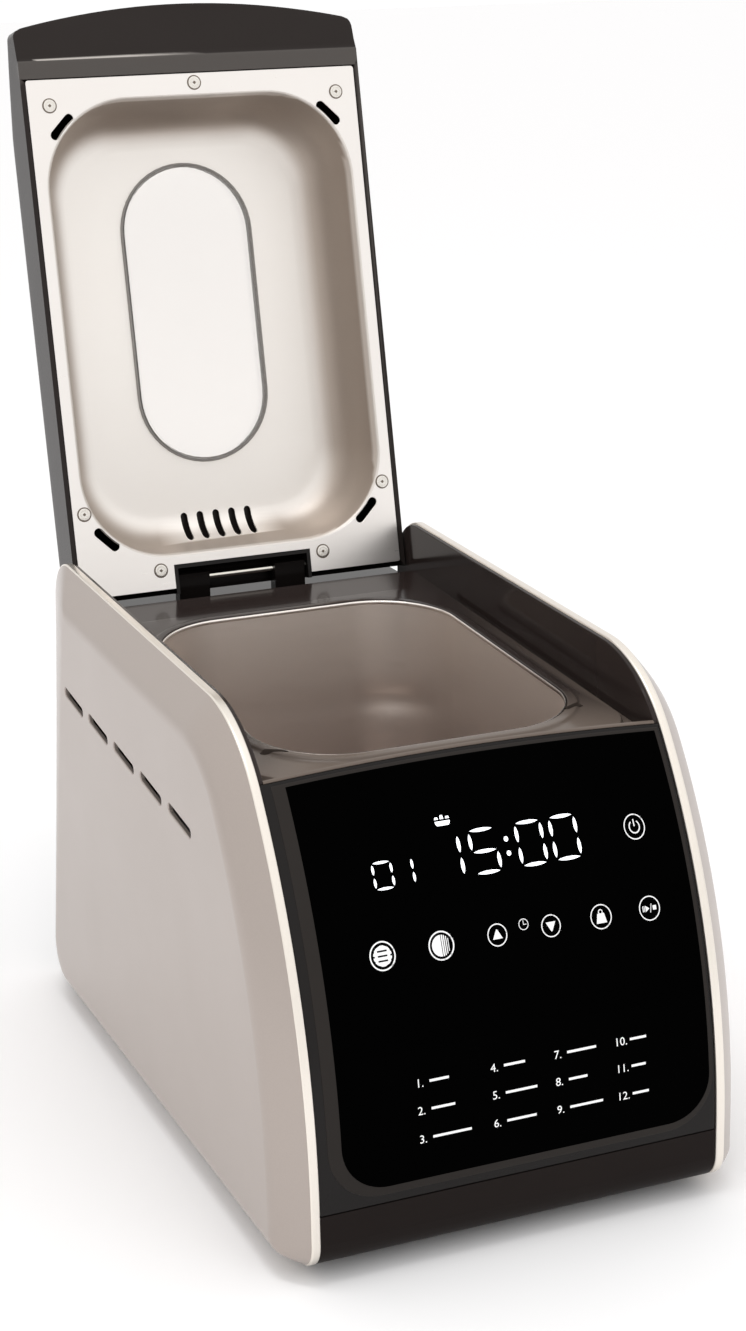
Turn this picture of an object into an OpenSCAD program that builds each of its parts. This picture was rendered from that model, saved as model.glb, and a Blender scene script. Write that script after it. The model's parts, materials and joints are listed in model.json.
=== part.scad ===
// Bread machine with its lid standing open. Units are mm, Z is up, the front faces -Y.

/* [Body] */
// half width between the side panels' bright inner edges
half_gap = 95; // [93:0.5:97]
// half width over the flat side faces
half_width = 112; // [110:0.5:116]
// width of the bright edge strip on each side panel
strip_w = 4.3; // [3:0.1:6]
// how far the bevel of a side panel falls back from its edge strip
bevel_drop = 15.9; // [12:0.1:18]
// how far the rear of a side panel is drawn in towards its flat face
rear_draw = 34; // [20:1:40]
// height of the top edge at the middle of the body
top_z = 236.5; // [234:0.5:238]
// fall of the top edge towards the front, per mm
top_slope = 0.035; // [0.02:0.005:0.05]
// radius of the curved front
front_r = 290; // [285:1:300]
// depth of the front face ahead of the middle
front_y = 181.5; // [180:0.5:184]
// radius of the bend between top edge and front
bend_r = 70; // [60:1:75]
// height of the underside of the base above the floor
foot_h = 6; // [5:0.5:8]
// height of the seam between base tray and front housing
base_seam_z = 32.5; // [30:0.5:36]
// height of the front housing's top seam at its ends
seam_z = 206.5; // [204:0.5:208]
// rise of that seam at the middle
seam_bow = 2.6; // [1:0.1:4]

/* [Cavity] */
// width of the cavity mouth
mouth_w = 152; // [146:1:156]
// depth of the cavity mouth from front to rear
mouth_l = 194; // [188:1:196]
// corner radius of the cavity mouth
mouth_r = 40; // [34:1:44]
// height of the cavity floor
floor_z = 72; // [70:1:76]
// height of the deck at the middle of the body
deck_z = 207.3; // [206:0.1:208]
// fall of the deck towards the front, per mm
deck_slope = 0.056; // [0.05:0.001:0.06]

/* [Lid] */
// angle between the open lid and the closed one
open_angle = 101.4; // [98:0.1:104]
// half width of the lid shell
lid_half = 92; // [90:0.5:92]
// half width of the lid inner plate
plate_half = 89.2; // [88:0.1:90]
// length of the lid inner plate
plate_l = 263.5; // [260:0.5:266]
// how far the lip stands out past the inner plate at its corners
lip_out = 25.5; // [24:0.5:27]
// rise of the lip's arc at its middle
lip_bow = 11; // [9:0.5:12]
// depth of the bowl in the inner plate
bowl_d = 37; // [34:0.5:39]
// thickness of the lid at its middle
lid_t = 43; // [42:0.5:46]
// thickness of the lid at its sides
lid_side_t = 28; // [26:0.5:30]
// half width of the hinge notch
notch_half = 38; // [36:0.5:39]
// width of the bowl pressed into the inner plate
bowl_w = 167; // [162:0.5:170]
// width of the window's rim
win_w = 72.6; // [68:0.2:76]

/* [Drive] */
// pitch radius of the large pulley
big_pulley_r = 44; // [42:1:46]
// pitch radius of the motor pulley
small_pulley_r = 8; // [7:0.5:9]
// distance of the motor axis behind the cavity's rear wall
motor_gap = 41; // [40:0.5:42]

/* [Hidden] */
wall = 2.5;
origin_y = 29.7;
gap = 0.2;
side_in = half_gap - 2;
cy = front_r - front_y;
cz = 35;
top_k = sqrt(1 + top_slope * top_slope);
bend_c0 = top_z - bend_r * top_k - cz;
bend_qa = 1 + top_slope * top_slope;
bend_qb = 2 * top_slope * bend_c0 - 2 * cy;
bend_qc = cy * cy + bend_c0 * bend_c0 - (front_r - bend_r) * (front_r - bend_r);
bend_y = (-bend_qb - sqrt(bend_qb * bend_qb - 4 * bend_qa * bend_qc)) / (2 * bend_qa);
bend_z = top_z - bend_r * top_k + top_slope * bend_y;
bend_a = atan2(bend_z - cz, bend_y - cy);
top_a = 90 + atan(top_slope);
rear_y0 = 198.5;
rear_s = 0.1453;
rear_k = sqrt(1 + rear_s * rear_s);
rear_a = atan(rear_s);
rear_top_r = 26;
rear_low_r = 16;
front_low_r = 14;
rt_z = (top_z - rear_top_r * top_k + top_slope * (rear_y0 - rear_top_r * rear_k))
    / (1 + top_slope * rear_s);
rt_y = rear_y0 - rear_top_r * rear_k - rear_s * rt_z;
mouth_y = -3;
nose_y = -106;
slot_x = 73;
shelf_y = 140;
shelf_z = 207;
hinge_y = 158.5;
hinge_z = 222.2;
pin_v = 4.4;
pin_off = 6;
pin_r = 1.8;
pin_fit = 0.05;
knuckle_r = 3.4;
knuckle_in = 18.3;
knuckle_out = 35.2;
notch_v = 12.4;
rim_w = 2;
vent_step = 9;
trough_r = 6;
trough_t = 1.8;
lug_in = 38.4;
lug_out = 50;
lug_screw_x = 45.3;
lug_screw_v = 10.3;
lid_wall = 2.4;
shell_l = plate_l + lip_out;
rear_bend_r = 36;
lip_bend_r = bend_r + 20;
bowl_v0 = 16.8;
bowl_l = plate_l - 27.5;
bowl_v = bowl_v0 + bowl_l / 2;
bowl_r = 46;
win_l = plate_l - 105.5;
win_v = 63.5 + win_l / 2;
lid_screw_at = [[-78, plate_l - 13.1], [78, plate_l - 13.1], [0, plate_l - 4.9], [-83, 43.6],
    [83, 43.6], [-lug_screw_x, lug_screw_v], [lug_screw_x, lug_screw_v]];
housing_in = 5.2;
foot_x = 70;
foot_y = 140;
shield_z = 62;
heater_z = 86;
drive_y = mouth_y;
drive_span = mouth_l / 2 + motor_gap;
motor_y = drive_y + drive_span;
pulley_z = 26;
pulley_h = 12;
shaft_r = 5;
motor_shaft_r = 4;
belt_t = 2.2;
belt_gap = 0.35;
chassis_z = 10;
chassis_t = 1.5;
chassis_y0 = -150;
chassis_y1 = motor_y + 33;
board_z = 16;
board_h = shield_z - 2 - board_z;
liner_t = 0.8;
shield_gap = 5;
rod_r = 3.2;
brace_x = 60;
brace_y = [-70, 62];
screw_x = 76;
screw_y = [-108, 112];

function arc(c, r, a0, a1, n) = [for (i = [0:n]) c + r * [cos(a0 + (a1 - a0) * i / n),
    sin(a0 + (a1 - a0) * i / n)]];

// outline of the body seen from the side, drawn in by o on top and front, ob below, orr behind
function profile(o = 0, ob = 0, orr = 0, n = 1) = concat(
    arc([-front_y + o + max(2, front_low_r - o), foot_h + ob + max(2, front_low_r - o)],
        max(2, front_low_r - o), 270, 180, 6),
    arc([cy, cz], front_r - o, 180, bend_a, 20 * n),
    arc([bend_y, bend_z], bend_r - o, bend_a, top_a, 14 * n),
    arc([rt_y - orr, rt_z], rear_top_r - o, top_a, rear_a, 10),
    arc([rear_y0 - orr - rear_s * (foot_h + ob) - rear_low_r * 1.15, foot_h + ob + rear_low_r],
        rear_low_r, rear_a, -90, 6));

module place() {
    translate([0, -origin_y, 0]) children();
}

module slab(x0, x1) {
    translate([x0, 0, 0]) rotate([90, 0, 90]) linear_extrude(x1 - x0) children();
}

module body(x0, x1, o = 0, ob = 0, orr = 0) {
    slab(x0, x1) polygon(profile(o, ob, orr));
}

module rr(w, l, r) {
    square([w, l - 2 * r], center = true);
    square([w - 2 * r, l], center = true);
    for (sx = [-1, 1]) for (sy = [-1, 1])
        translate([sx * (w / 2 - r), sy * (l / 2 - r)]) circle(r, $fn = 96);
}

module prism(w, l, r, z0, z1, y = mouth_y) {
    translate([0, y, z0]) linear_extrude(z1 - z0) rr(w, l, r);
}

// everything between two heights over the sloping deck, given at the middle of the body
module band(z0, z1, x0, x1, y0, y1) {
    slab(x0, x1) polygon([[y0, z0 + deck_slope * y0], [y1, z0 + deck_slope * y1],
        [y1, z1 + deck_slope * y1], [y0, z1 + deck_slope * y0]]);
}

// region of the front seen from ahead, with the bowed top seam
module front_region(x0, x1, z0, z1, bow, r) {
    br = (half_gap * half_gap + bow * bow) / (2 * bow);
    rotate([90, 0, 0]) linear_extrude(260) intersection() {
        union() {
            translate([x0, z0 + r]) square([x1 - x0, z1 - z0 + 20 - r]);
            translate([x0 + r, z0]) square([x1 - x0 - 2 * r, r + 1]);
            translate([x0 + r, z0 + r]) circle(r, $fn = 64);
            translate([x1 - r, z0 + r]) circle(r, $fn = 64);
        }
        translate([0, z1 + bow - br]) circle(br, $fn = 720);
    }
}

module lid_place() {
    translate([0, hinge_y, hinge_z]) rotate([180 - open_angle, 0, 0])
        translate([0, -pin_v, pin_off]) children();
}

// ---------------------------------------------------------------- body shell

module panel_solid() {
    hull() {
        body(half_gap, half_gap + strip_w);
        body(half_gap + strip_w + 6, half_gap + strip_w + 6.02, bevel_drop * 0.46, 3.5, 8);
        body(half_width - 0.02, half_width, bevel_drop, 9, rear_draw);
    }
}

module panel_void() {
    hull() {
        body(half_gap - 1, half_gap + strip_w, wall, wall, wall);
        body(half_gap + strip_w + 5, half_gap + strip_w + 5.02, bevel_drop * 0.46 + wall, 6, 10.5);
        body(half_width - wall - 0.02, half_width - wall, bevel_drop + wall, 11.5, rear_draw + wall);
    }
}

module vent_slots() {
    for (i = [0:4])
        translate([half_width, 96 - 40.4 * i, 183.2 - 2.2 * i]) rotate([6.5, 0, 0])
            rotate([0, 90, 0]) for (d = [-1, 1]) union() {
                cube([5, 26, 12], center = true);
                translate([0, d * 13, 0]) cylinder(h = 12, r = 2.5, center = true, $fn = 32);
            }
}

module side_panel() {
    difference() {
        panel_solid();
        panel_void();
        vent_slots();
    }
}

module left_side_panel() {
    color("#c9c0b6") mirror([1, 0, 0]) side_panel();
}

module right_side_panel() {
    color("#c9c0b6") side_panel();
}

module base_tray() {
    color("#26211f") difference() {
        intersection() {
            body(-half_gap + gap, half_gap - gap, 1);
            translate([-120, -200, 0]) cube([240, 400, base_seam_z]);
        }
        translate([0, 0, foot_h + wall]) intersection() {
            translate([0, 0, -foot_h - wall]) body(-half_gap + wall, half_gap - wall, 1 + wall);
            translate([-110, -200, 0]) cube([220, 400, 60]);
        }
        for (sx = [-1, 1]) for (sy = [-1, 1]) translate([sx * foot_x, sy * foot_y, 0])
            cylinder(h = 9, r = 8, $fn = 48);
        for (i = [-4:4]) translate([i * 12 - 2, 40, 0]) cube([4, 60, 12]);
    }
}

module rubber_feet() {
    color("#1b1a1a") for (sx = [-1, 1]) for (sy = [-1, 1]) translate([sx * foot_x, sy * foot_y, 0]) {
        cylinder(h = foot_h, r = 12, $fn = 48);
        cylinder(h = 11.5, r = 7.9, $fn = 48);
        translate([0, 0, foot_h + wall + 0.02]) cylinder(h = 2, r = 9.5, $fn = 48);
    }
}

module rear_cover() {
    color("#2a2624") difference() {
        intersection() {
            body(-half_gap + gap, half_gap - gap, 1, 1, 1);
            translate([-110, 120, base_seam_z + gap]) cube([220, 90, 173.8]);
        }
        intersection() {
            body(-half_gap + gap + wall, half_gap - gap - wall, 1 + wall, 1, 1 + wall);
            translate([-110, 0, 0]) cube([220, 220, 300]);
        }
        translate([-110, 100, 0]) cube([220, 50, 300]);
        for (r = [0:3]) for (i = [-3:3]) translate([i * 20 - 7, 150, 128 + r * 12])
            cube([14, 60, 4]);
        gland_place() cylinder(h = 40, r = 7, center = true, $fn = 48);
    }
}

module gland_place() {
    translate([62, rear_y0 - rear_s * 52 - 1, 52]) rotate([-90 + rear_a, 0, 0]) children();
}

module cable_gland() {
    color("#1b1a1a") gland_place() difference() {
        union() {
            translate([0, 0, 0.3]) cylinder(h = 4, r = 10, $fn = 48);
            translate([0, 0, -12]) cylinder(h = 13, r = 6.8, $fn = 48);
            translate([0, 0, -7]) cylinder(h = 3.8, r = 9.5, $fn = 6);
        }
        translate([0, 0, -13]) cylinder(h = 20, r = 3.6, $fn = 48);
    }
}

module deck_frame() {
    color("#332c2a") difference() {
        union() {
            intersection() {
                band(deck_z - 3, deck_z, -side_in, side_in, -122, 143);
                body(-half_gap, half_gap, housing_in + 0.2);
            }
            intersection() {
                band(deck_z - 3, deck_z + 2.4, -side_in, side_in, -112, 130);
                prism(181, 226, 24, 150, 260, 8);
            }
            intersection() {
                band(deck_z - 3, deck_z + 4.2, -side_in, side_in, -112, 130);
                prism(mouth_w + 12, mouth_l + 12, mouth_r + 6, 150, 260);
            }
            difference() {
                prism(mouth_w + 5, mouth_l + 5, mouth_r + 2.5, deck_z - 22, deck_z + 4);
                band(deck_z - 1, deck_z + 60, -100, 100, -160, 160);
            }
            for (s = [-1, 1]) difference() {
                intersection() {
                    body(s > 0 ? side_in : -half_gap + gap, s > 0 ? half_gap - gap : -side_in, 1);
                    translate([-110, -200, 150]) cube([220, 400, 100]);
                }
                band(deck_z - 73, deck_z - 12, -100, 100, -200, 200);
                front_region(-120, 120, 0, seam_z + 0.3, seam_bow, 2);
                translate([-120, 140, 150]) cube([240, 100, 56.8]);
            }
            intersection() {
                slab(-side_in, side_in) polygon([[nose_y, deck_z - 3 + deck_slope * nose_y],
                    [nose_y, deck_z + deck_slope * nose_y], [-121.5, seam_z + 1.5], [-128, seam_z + 1.5],
                    [-128, seam_z - 6], [-118, seam_z - 10]]);
                body(-half_gap, half_gap, housing_in + 0.2);
                front_region(-120, 120, 100, seam_z - 0.3, seam_bow, 2);
            }
            intersection() {
                union() {
                    translate([-side_in, shelf_y, shelf_z]) cube([2 * side_in, 40, 3]);
                    translate([-side_in, shelf_y, shelf_z]) cube([2 * side_in, 3, 8.3]);
                }
                body(-half_gap, half_gap, 1, 1, 1);
            }
            for (s = [-1, 1]) intersection() {
                translate([s > 0 ? side_in - 0.6 : -side_in, 122, 207]) cube([0.6, 50, 40]);
                body(-half_gap, half_gap, 1, 1, 1);
                translate([0, 0, 4]) slab(-100, 100)
                    polygon([[120, 224], [180, 214], [180, 260], [120, 260]]);
            }
        }
        prism(mouth_w + 1.8, mouth_l + 1.8, mouth_r + 0.9, 150, 260);
        for (s = [-1, 1]) translate([s * slot_x, -84, 190]) rotate([0, 0, s * 27])
            translate([-6, -1.4, 0]) cube([12, 2.8, 30]);
        for (s = [-1, 1]) translate([s * 27, hinge_y, 200]) cylinder(h = 20, r = 1.6, $fn = 24);
    }
}

module front_housing() {
    color("#201c1b") difference() {
        intersection() {
            body(-half_gap + gap, half_gap - gap, 1.2);
            front_region(-half_gap + gap, half_gap - gap, base_seam_z + 0.3, seam_z, seam_bow, 0.5);
        }
        difference() {
            body(-100, 100, housing_in);
            intersection() {
                board_place() for (sx = [-66, 66]) for (sy = [-40, 26])
                    translate([sx, sy, -6.95]) cylinder(h = 60, r = 4, $fn = 32);
                body(-100, 100, 3.5);
            }
        }
        intersection() {
            difference() {
                body(-100, 100, 0);
                body(-100, 100, 3.1);
            }
            front_region(-90.6, 94, 36.4, seam_z - 0.9, seam_bow, 24);
        }
        translate([-60, -220, 145]) cube([120, 90, 42]);
    }
}

module panel_bezel() {
    color("#3d3937") difference() {
        intersection() {
            body(-100, 100, 1.0);
            front_region(-90.3, 93.7, 36.7, seam_z - 1.2, seam_bow, 23.7);
        }
        body(-100, 100, 3.0);
        intersection() {
            difference() {
                body(-100, 100, 0);
                body(-100, 100, 2.0);
            }
            front_region(-84.2, 92, 40.2, seam_z - 2.2, seam_bow, 21);
        }
        translate([-62, -220, 100]) cube([124, 110, 87]);
    }
}

module control_glass() {
    color("#0b0b0c") difference() {
        intersection() {
            body(-100, 100, 0.7);
            front_region(-84, 91.8, 40.4, seam_z - 2.4, seam_bow, 20.8);
        }
        body(-100, 100, 1.95);
    }
}

// the boards behind the control glass lie on a flat that follows the front's chord
module board_place() {
    translate([0, -151, 152]) rotate([64, 0, 0]) children();
}

module control_board() {
    color("#1d5c38") board_place() {
        difference() {
            translate([-72, -46, -8.6]) cube([144, 78, 1.6]);
            for (sx = [-66, 66]) for (sy = [-40, 26]) translate([sx, sy, -9])
                cylinder(h = 3, r = 1.7, $fn = 24);
        }
        for (i = [-5:5]) translate([i * 10, -26, -7]) cylinder(h = 3, r = 4, $fn = 24);
        translate([-20, -40, -11]) cube([24, 20, 2.5]);
    }
}

module display_module() {
    color("#f0f2f4") board_place() {
        translate([-58, -2, -6.95]) cube([104, 28, 4.2]);
        for (i = [0:4]) translate([-52 + i * 20, 4, -2.8]) cube([12, 18, 0.8]);
    }
}

// ---------------------------------------------------------------- oven

module oven_liner() {
    color("#8f867d") difference() {
        union() {
            difference() {
                prism(mouth_w + 2 * liner_t, mouth_l + 2 * liner_t, mouth_r + liner_t, floor_z - 1, 260);
                band(deck_z + 4.6, deck_z + 90, -100, 100, -160, 160);
            }
            intersection() {
                band(deck_z + 4.25, deck_z + 5.1, -100, 100, -160, 160);
                prism(mouth_w + 6, mouth_l + 6, mouth_r + 3, 150, 260);
            }
        }
        prism(mouth_w, mouth_l, mouth_r, floor_z, 270);
        translate([0, drive_y, 50]) cylinder(h = 40, r = 11, $fn = 64);
        for (s = [-1, 1]) translate([s * 16, 60, heater_z]) rotate([-90, 0, 0])
            cylinder(h = 60, r = 5, $fn = 48);
        translate([40, -140, 110]) rotate([-90, 0, 0]) cylinder(h = 60, r = 3.2, $fn = 48);
    }
}

module heat_shield() {
    w = mouth_w + 2 * shield_gap + 2;
    l = mouth_l + 2 * shield_gap + 2;
    color("#a9adb0") difference() {
        prism(w, l, mouth_r + 6, shield_z, 180);
        prism(w - 1.6, l - 1.6, mouth_r + 5.2, shield_z + 0.8, 190);
        translate([0, drive_y, 50]) cylinder(h = 30, r = 24, $fn = 64);
        for (sx = [-1, 1]) for (y = brace_y) translate([sx * brace_x - 8.6, y - 8.6, 50])
            cube([17.2, 17.2, 30]);
        for (s = [-1, 1]) translate([s * 16, 60, heater_z]) rotate([-90, 0, 0])
            cylinder(h = 60, r = 9, $fn = 48);
        translate([40, -140, 110]) rotate([-90, 0, 0]) cylinder(h = 60, r = 9, $fn = 48);
    }
}

module heater_element() {
    hw = mouth_w / 2 - 12;
    hl = mouth_l / 2 - 14;
    r = 28;
    color("#4a4644") translate([0, mouth_y, heater_z]) {
        for (s = [-1, 1]) {
            translate([s * hw, 0, 0]) rotate([90, 0, 0])
                cylinder(h = 2 * (hl - r), r = rod_r, center = true, $fn = 32);
            translate([s * (hw - r), hl - r, 0]) rotate([0, 0, s > 0 ? 0 : 90])
                rotate_extrude(angle = 90, $fn = 64) translate([r, 0]) circle(rod_r, $fn = 32);
            translate([s * (hw - r), -hl + r, 0]) rotate([0, 0, s > 0 ? 270 : 180])
                rotate_extrude(angle = 90, $fn = 64) translate([r, 0]) circle(rod_r, $fn = 32);
            translate([s > 0 ? 16 : -(hw - r), hl, 0]) rotate([0, 90, 0])
                cylinder(h = hw - r - 16, r = rod_r, $fn = 32);
            translate([s * 16, hl, 0]) sphere(rod_r, $fn = 32);
            translate([s * 16, hl, 0]) rotate([-90, 0, 0]) cylinder(h = 26, r = rod_r, $fn = 32);
        }
        translate([0, -hl, 0]) rotate([0, 90, 0])
            cylinder(h = 2 * (hw - r), r = rod_r, center = true, $fn = 32);
    }
}

module heater_insulators() {
    y = mouth_y + mouth_l / 2;
    color("#e9e5dc") for (s = [-1, 1]) translate([s * 16, y, heater_z]) rotate([-90, 0, 0])
        difference() {
            union() {
                translate([0, 0, -2]) cylinder(h = 12, r = 4.9, $fn = 48);
                translate([0, 0, liner_t + 0.1]) cylinder(h = 4, r = 7.5, $fn = 48);
            }
            translate([0, 0, -3]) cylinder(h = 20, r = rod_r + 0.05, $fn = 48);
        }
}

module temperature_sensor() {
    y = mouth_y - mouth_l / 2;
    color("#b9bcc0") translate([40, y, 110]) rotate([90, 0, 0]) {
        translate([0, 0, -9]) cylinder(h = 22, r = 3.1, $fn = 32);
        translate([0, 0, -9]) sphere(3.1, $fn = 32);
        translate([0, 0, liner_t + 0.05]) cylinder(h = 2, r = 7, $fn = 32);
    }
}

module thermal_fuse() {
    x = mouth_w / 2 + liner_t;
    color("#d8d2c4") translate([x, 20, 120]) {
        translate([0.05, -14, -5]) cube([0.9, 28, 10]);
        translate([0.95, 0, 0]) rotate([90, 0, 0]) translate([1.4, 0, 0])
            cylinder(h = 20, r = 1.5, center = true, $fn = 32);
    }
}

// ---------------------------------------------------------------- drive

module chassis_plate() {
    color("#aab0b3") difference() {
        union() {
            translate([-84, chassis_y0, chassis_z]) cube([168, chassis_y1 - chassis_y0, chassis_t]);
            for (sx = [-1, 1]) for (y = brace_y) translate([sx * brace_x - 8, y - 8, chassis_z])
                difference() {
                    cube([16, 16, floor_z - 1.1 - chassis_z]);
                    translate([1.2, 1.2, 1.5]) cube([13.6, 16, 70]);
                }
        }
        translate([0, drive_y, 0]) cylinder(h = 20, r = 12.1, $fn = 64);
        for (sx = [-1, 1]) for (sy = [-1, 1]) translate([sx * foot_x, sy * foot_y, 0])
            cylinder(h = 20, r = 10.5, $fn = 48);
        for (i = [-4:4]) translate([i * 12 - 3, 42, 0]) cube([6, 50, 12]);
        for (sx = [-1, 1]) for (y = screw_y) translate([sx * screw_x, y, 0])
            cylinder(h = 20, r = 2.1, $fn = 32);
    }
}

module chassis_screws() {
    color("#c8cacc") for (sx = [-1, 1]) for (y = screw_y) translate([sx * screw_x, y, 0])
        difference() {
            union() {
                translate([0, 0, chassis_z + chassis_t + 0.02]) cylinder(h = 2.2, r = 3.6, $fn = 32);
                translate([0, 0, foot_h + wall + 0.05]) cylinder(h = 4.5, r = 1.9, $fn = 32);
            }
            translate([-2.2, -0.5, chassis_z + chassis_t + 1.2]) cube([4.4, 1, 2]);
            translate([-0.5, -2.2, chassis_z + chassis_t + 1.2]) cube([1, 4.4, 2]);
        }
}

module shaft_bearing() {
    color("#8d8f92") translate([0, drive_y, 0]) difference() {
        union() {
            translate([0, 0, 44]) cylinder(h = 26.9, r = 10.8, $fn = 64);
            translate([0, 0, 58]) cylinder(h = 3.9, r = 22, $fn = 64);
            for (a = [0, 90, 180, 270]) rotate([0, 0, a]) translate([14, -2, 48])
                cube([8, 4, 12]);
            for (a = [0, 90, 180, 270]) rotate([0, 0, a]) translate([10, -2, 48])
                cube([5, 4, 12]);
        }
        translate([0, 0, 40]) cylinder(h = 40, r = shaft_r + 0.05, $fn = 64);
    }
}

module drive_shaft() {
    color("#cfd2d4") translate([0, drive_y, 0]) {
        translate([0, 0, pulley_z - 3]) cylinder(h = 74, r = shaft_r, $fn = 64);
    }
}

module drive_coupling() {
    color("#5d6063") translate([0, drive_y, 0]) difference() {
        union() {
            translate([0, 0, floor_z + 2]) cylinder(h = 14, r = 9, $fn = 64);
            for (a = [0, 90]) rotate([0, 0, a]) translate([-15, -3, floor_z + 5])
                cube([30, 6, 10]);
        }
        translate([0, 0, 50]) cylinder(h = 60, r = shaft_r, $fn = 64);
    }
}

module large_pulley() {
    color("#2b2b2d") translate([0, drive_y, pulley_z]) difference() {
        union() {
            cylinder(h = pulley_h, r = big_pulley_r, $fn = 128);
            translate([0, 0, -1.5]) cylinder(h = 1.5, r = big_pulley_r + 4, $fn = 128);
            translate([0, 0, pulley_h]) cylinder(h = 1.5, r = big_pulley_r + 4, $fn = 128);
            translate([0, 0, -2]) cylinder(h = pulley_h + 5, r = 10, $fn = 64);
        }
        translate([0, 0, 6]) difference() {
            cylinder(h = 20, r = big_pulley_r - 4, $fn = 96);
            cylinder(h = 20, r = 14, $fn = 64);
            for (a = [0:60:300]) rotate([0, 0, a]) translate([0, -2, 0]) cube([50, 4, 20]);
        }
        for (a = [30:60:330]) rotate([0, 0, a]) translate([27, 0, -5])
            cylinder(h = 30, r = 8, $fn = 32);
        translate([0, 0, -10]) cylinder(h = 40, r = shaft_r, $fn = 64);
    }
}

module motor_pulley() {
    color("#b8bbbd") translate([0, motor_y, pulley_z]) difference() {
        union() {
            cylinder(h = pulley_h, r = small_pulley_r, $fn = 64);
            translate([0, 0, -1.5]) cylinder(h = 1.5, r = small_pulley_r + 4, $fn = 64);
            translate([0, 0, pulley_h]) cylinder(h = 1.5, r = small_pulley_r + 4, $fn = 64);
        }
        translate([0, 0, -10]) cylinder(h = 40, r = motor_shaft_r, $fn = 64);
    }
}

module belt_outline(e) {
    a = asin((big_pulley_r - small_pulley_r) / drive_span);
    r1 = big_pulley_r + e;
    r2 = small_pulley_r + e;
    translate([0, drive_y]) circle(r1, $fn = 128);
    translate([0, motor_y]) circle(r2, $fn = 64);
    polygon([[r1 * cos(a), drive_y + r1 * sin(a)], [r2 * cos(a), motor_y + r2 * sin(a)],
        [-r2 * cos(a), motor_y + r2 * sin(a)], [-r1 * cos(a), drive_y + r1 * sin(a)]]);
}

module drive_belt() {
    color("#191919") translate([0, 0, pulley_z + 1]) linear_extrude(pulley_h - 2) difference() {
        belt_outline(belt_gap + belt_t);
        belt_outline(belt_gap);
    }
}

module motor_stator() {
    color("#7d8083") translate([0, motor_y, 0]) difference() {
        union() {
            translate([-36, -26, 52]) cube([72, 50, 3]);
            translate([-30, -22, 55]) cube([60, 42, 28]);
            translate([-36, -26, 83]) cube([72, 50, 3]);
            translate([-36, -26, chassis_z + chassis_t]) cube([3, 50, 45]);
            translate([33, -26, chassis_z + chassis_t]) cube([3, 50, 45]);
            translate([-40, -26, chassis_z + chassis_t + 0.02]) cube([7, 50, 2]);
            translate([33, -26, chassis_z + chassis_t + 0.02]) cube([7, 50, 2]);
        }
        translate([0, 0, 56]) cylinder(h = 26, r = 17, $fn = 64);
        translate([0, 0, 40]) cylinder(h = 80, r = motor_shaft_r + 0.05, $fn = 64);
    }
}

module motor_rotor() {
    color("#b0703c") translate([0, motor_y, 0]) {
        translate([0, 0, 57]) cylinder(h = 24, r = 16.6, $fn = 64);
        translate([0, 0, pulley_z - 3]) cylinder(h = 78, r = motor_shaft_r, $fn = 64);
    }
}

module cooling_fan() {
    color("#2f3236") translate([0, motor_y, 88]) difference() {
        union() {
            cylinder(h = 10, r = 9, $fn = 48);
            for (a = [0:45:315]) rotate([0, 0, a]) translate([8, 0, 5]) rotate([30, 0, 0])
                translate([0, -4, -0.6]) cube([18, 8, 1.2]);
        }
        translate([0, 0, -5]) cylinder(h = 30, r = motor_shaft_r, $fn = 48);
    }
}

module power_board() {
    color("#2c6a44") translate([-92, -70, board_z]) {
        cube([1.6, 110, board_h]);
        translate([1.5, 12, 10]) cube([8, 18, 20]);
        translate([1.5, 40, 8]) cube([10, 16, 14]);
        for (i = [0:2]) translate([1.5, 72 + i * 12, 20]) rotate([0, 90, 0])
            cylinder(h = 7, r = 4.5, $fn = 32);
        translate([0.2, 4, -4.4]) cube([1.2, 10, 4.6]);
        translate([0.2, 96, -4.4]) cube([1.2, 10, 4.6]);
    }
}

// ---------------------------------------------------------------- lid and hinge

module hinge_knuckles() {
    color("#1d1a19") for (s = [-1, 1]) difference() {
        translate([s > 0 ? knuckle_in : -knuckle_out, hinge_y - knuckle_r, shelf_z + 3.05])
            cube([knuckle_out - knuckle_in, 2 * knuckle_r, hinge_z - shelf_z]);
        translate([-60, hinge_y, hinge_z]) rotate([0, 90, 0]) cylinder(h = 120, r = pin_r, $fn = 48);
        translate([s * 27, hinge_y, 205]) cylinder(h = 10, r = 1.5, $fn = 24);
    }
}

module hinge_pin() {
    color("#d8dadb") translate([-lug_out + 0.5, hinge_y, hinge_z]) rotate([0, 90, 0])
        cylinder(h = 2 * lug_out - 1, r = pin_r, $fn = 48);
}

module lid_hinge_lugs() {
    color("#2c2826") lid_place() for (s = [-1, 1]) difference() {
        union() {
            translate([s > 0 ? lug_in : -lug_out, pin_v, -pin_off]) rotate([0, 90, 0])
                cylinder(h = lug_out - lug_in, r = 4.9, $fn = 48);
            translate([s > 0 ? lug_in : -lug_out, pin_v, -pin_off - 4.9])
                cube([lug_out - lug_in, 9, 9.75]);
            translate([s > 0 ? lug_in : -lug_out, pin_v + 2, -17.4])
                cube([lug_out - lug_in, 7, 12]);
        }
        translate([s * lug_screw_x, lug_screw_v, -7]) cylinder(h = 10, r = 1.85, $fn = 32);
        translate([-60, pin_v, -pin_off]) rotate([0, 90, 0])
            cylinder(h = 120, r = pin_r + pin_fit, $fn = 48);
    }
}

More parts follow.
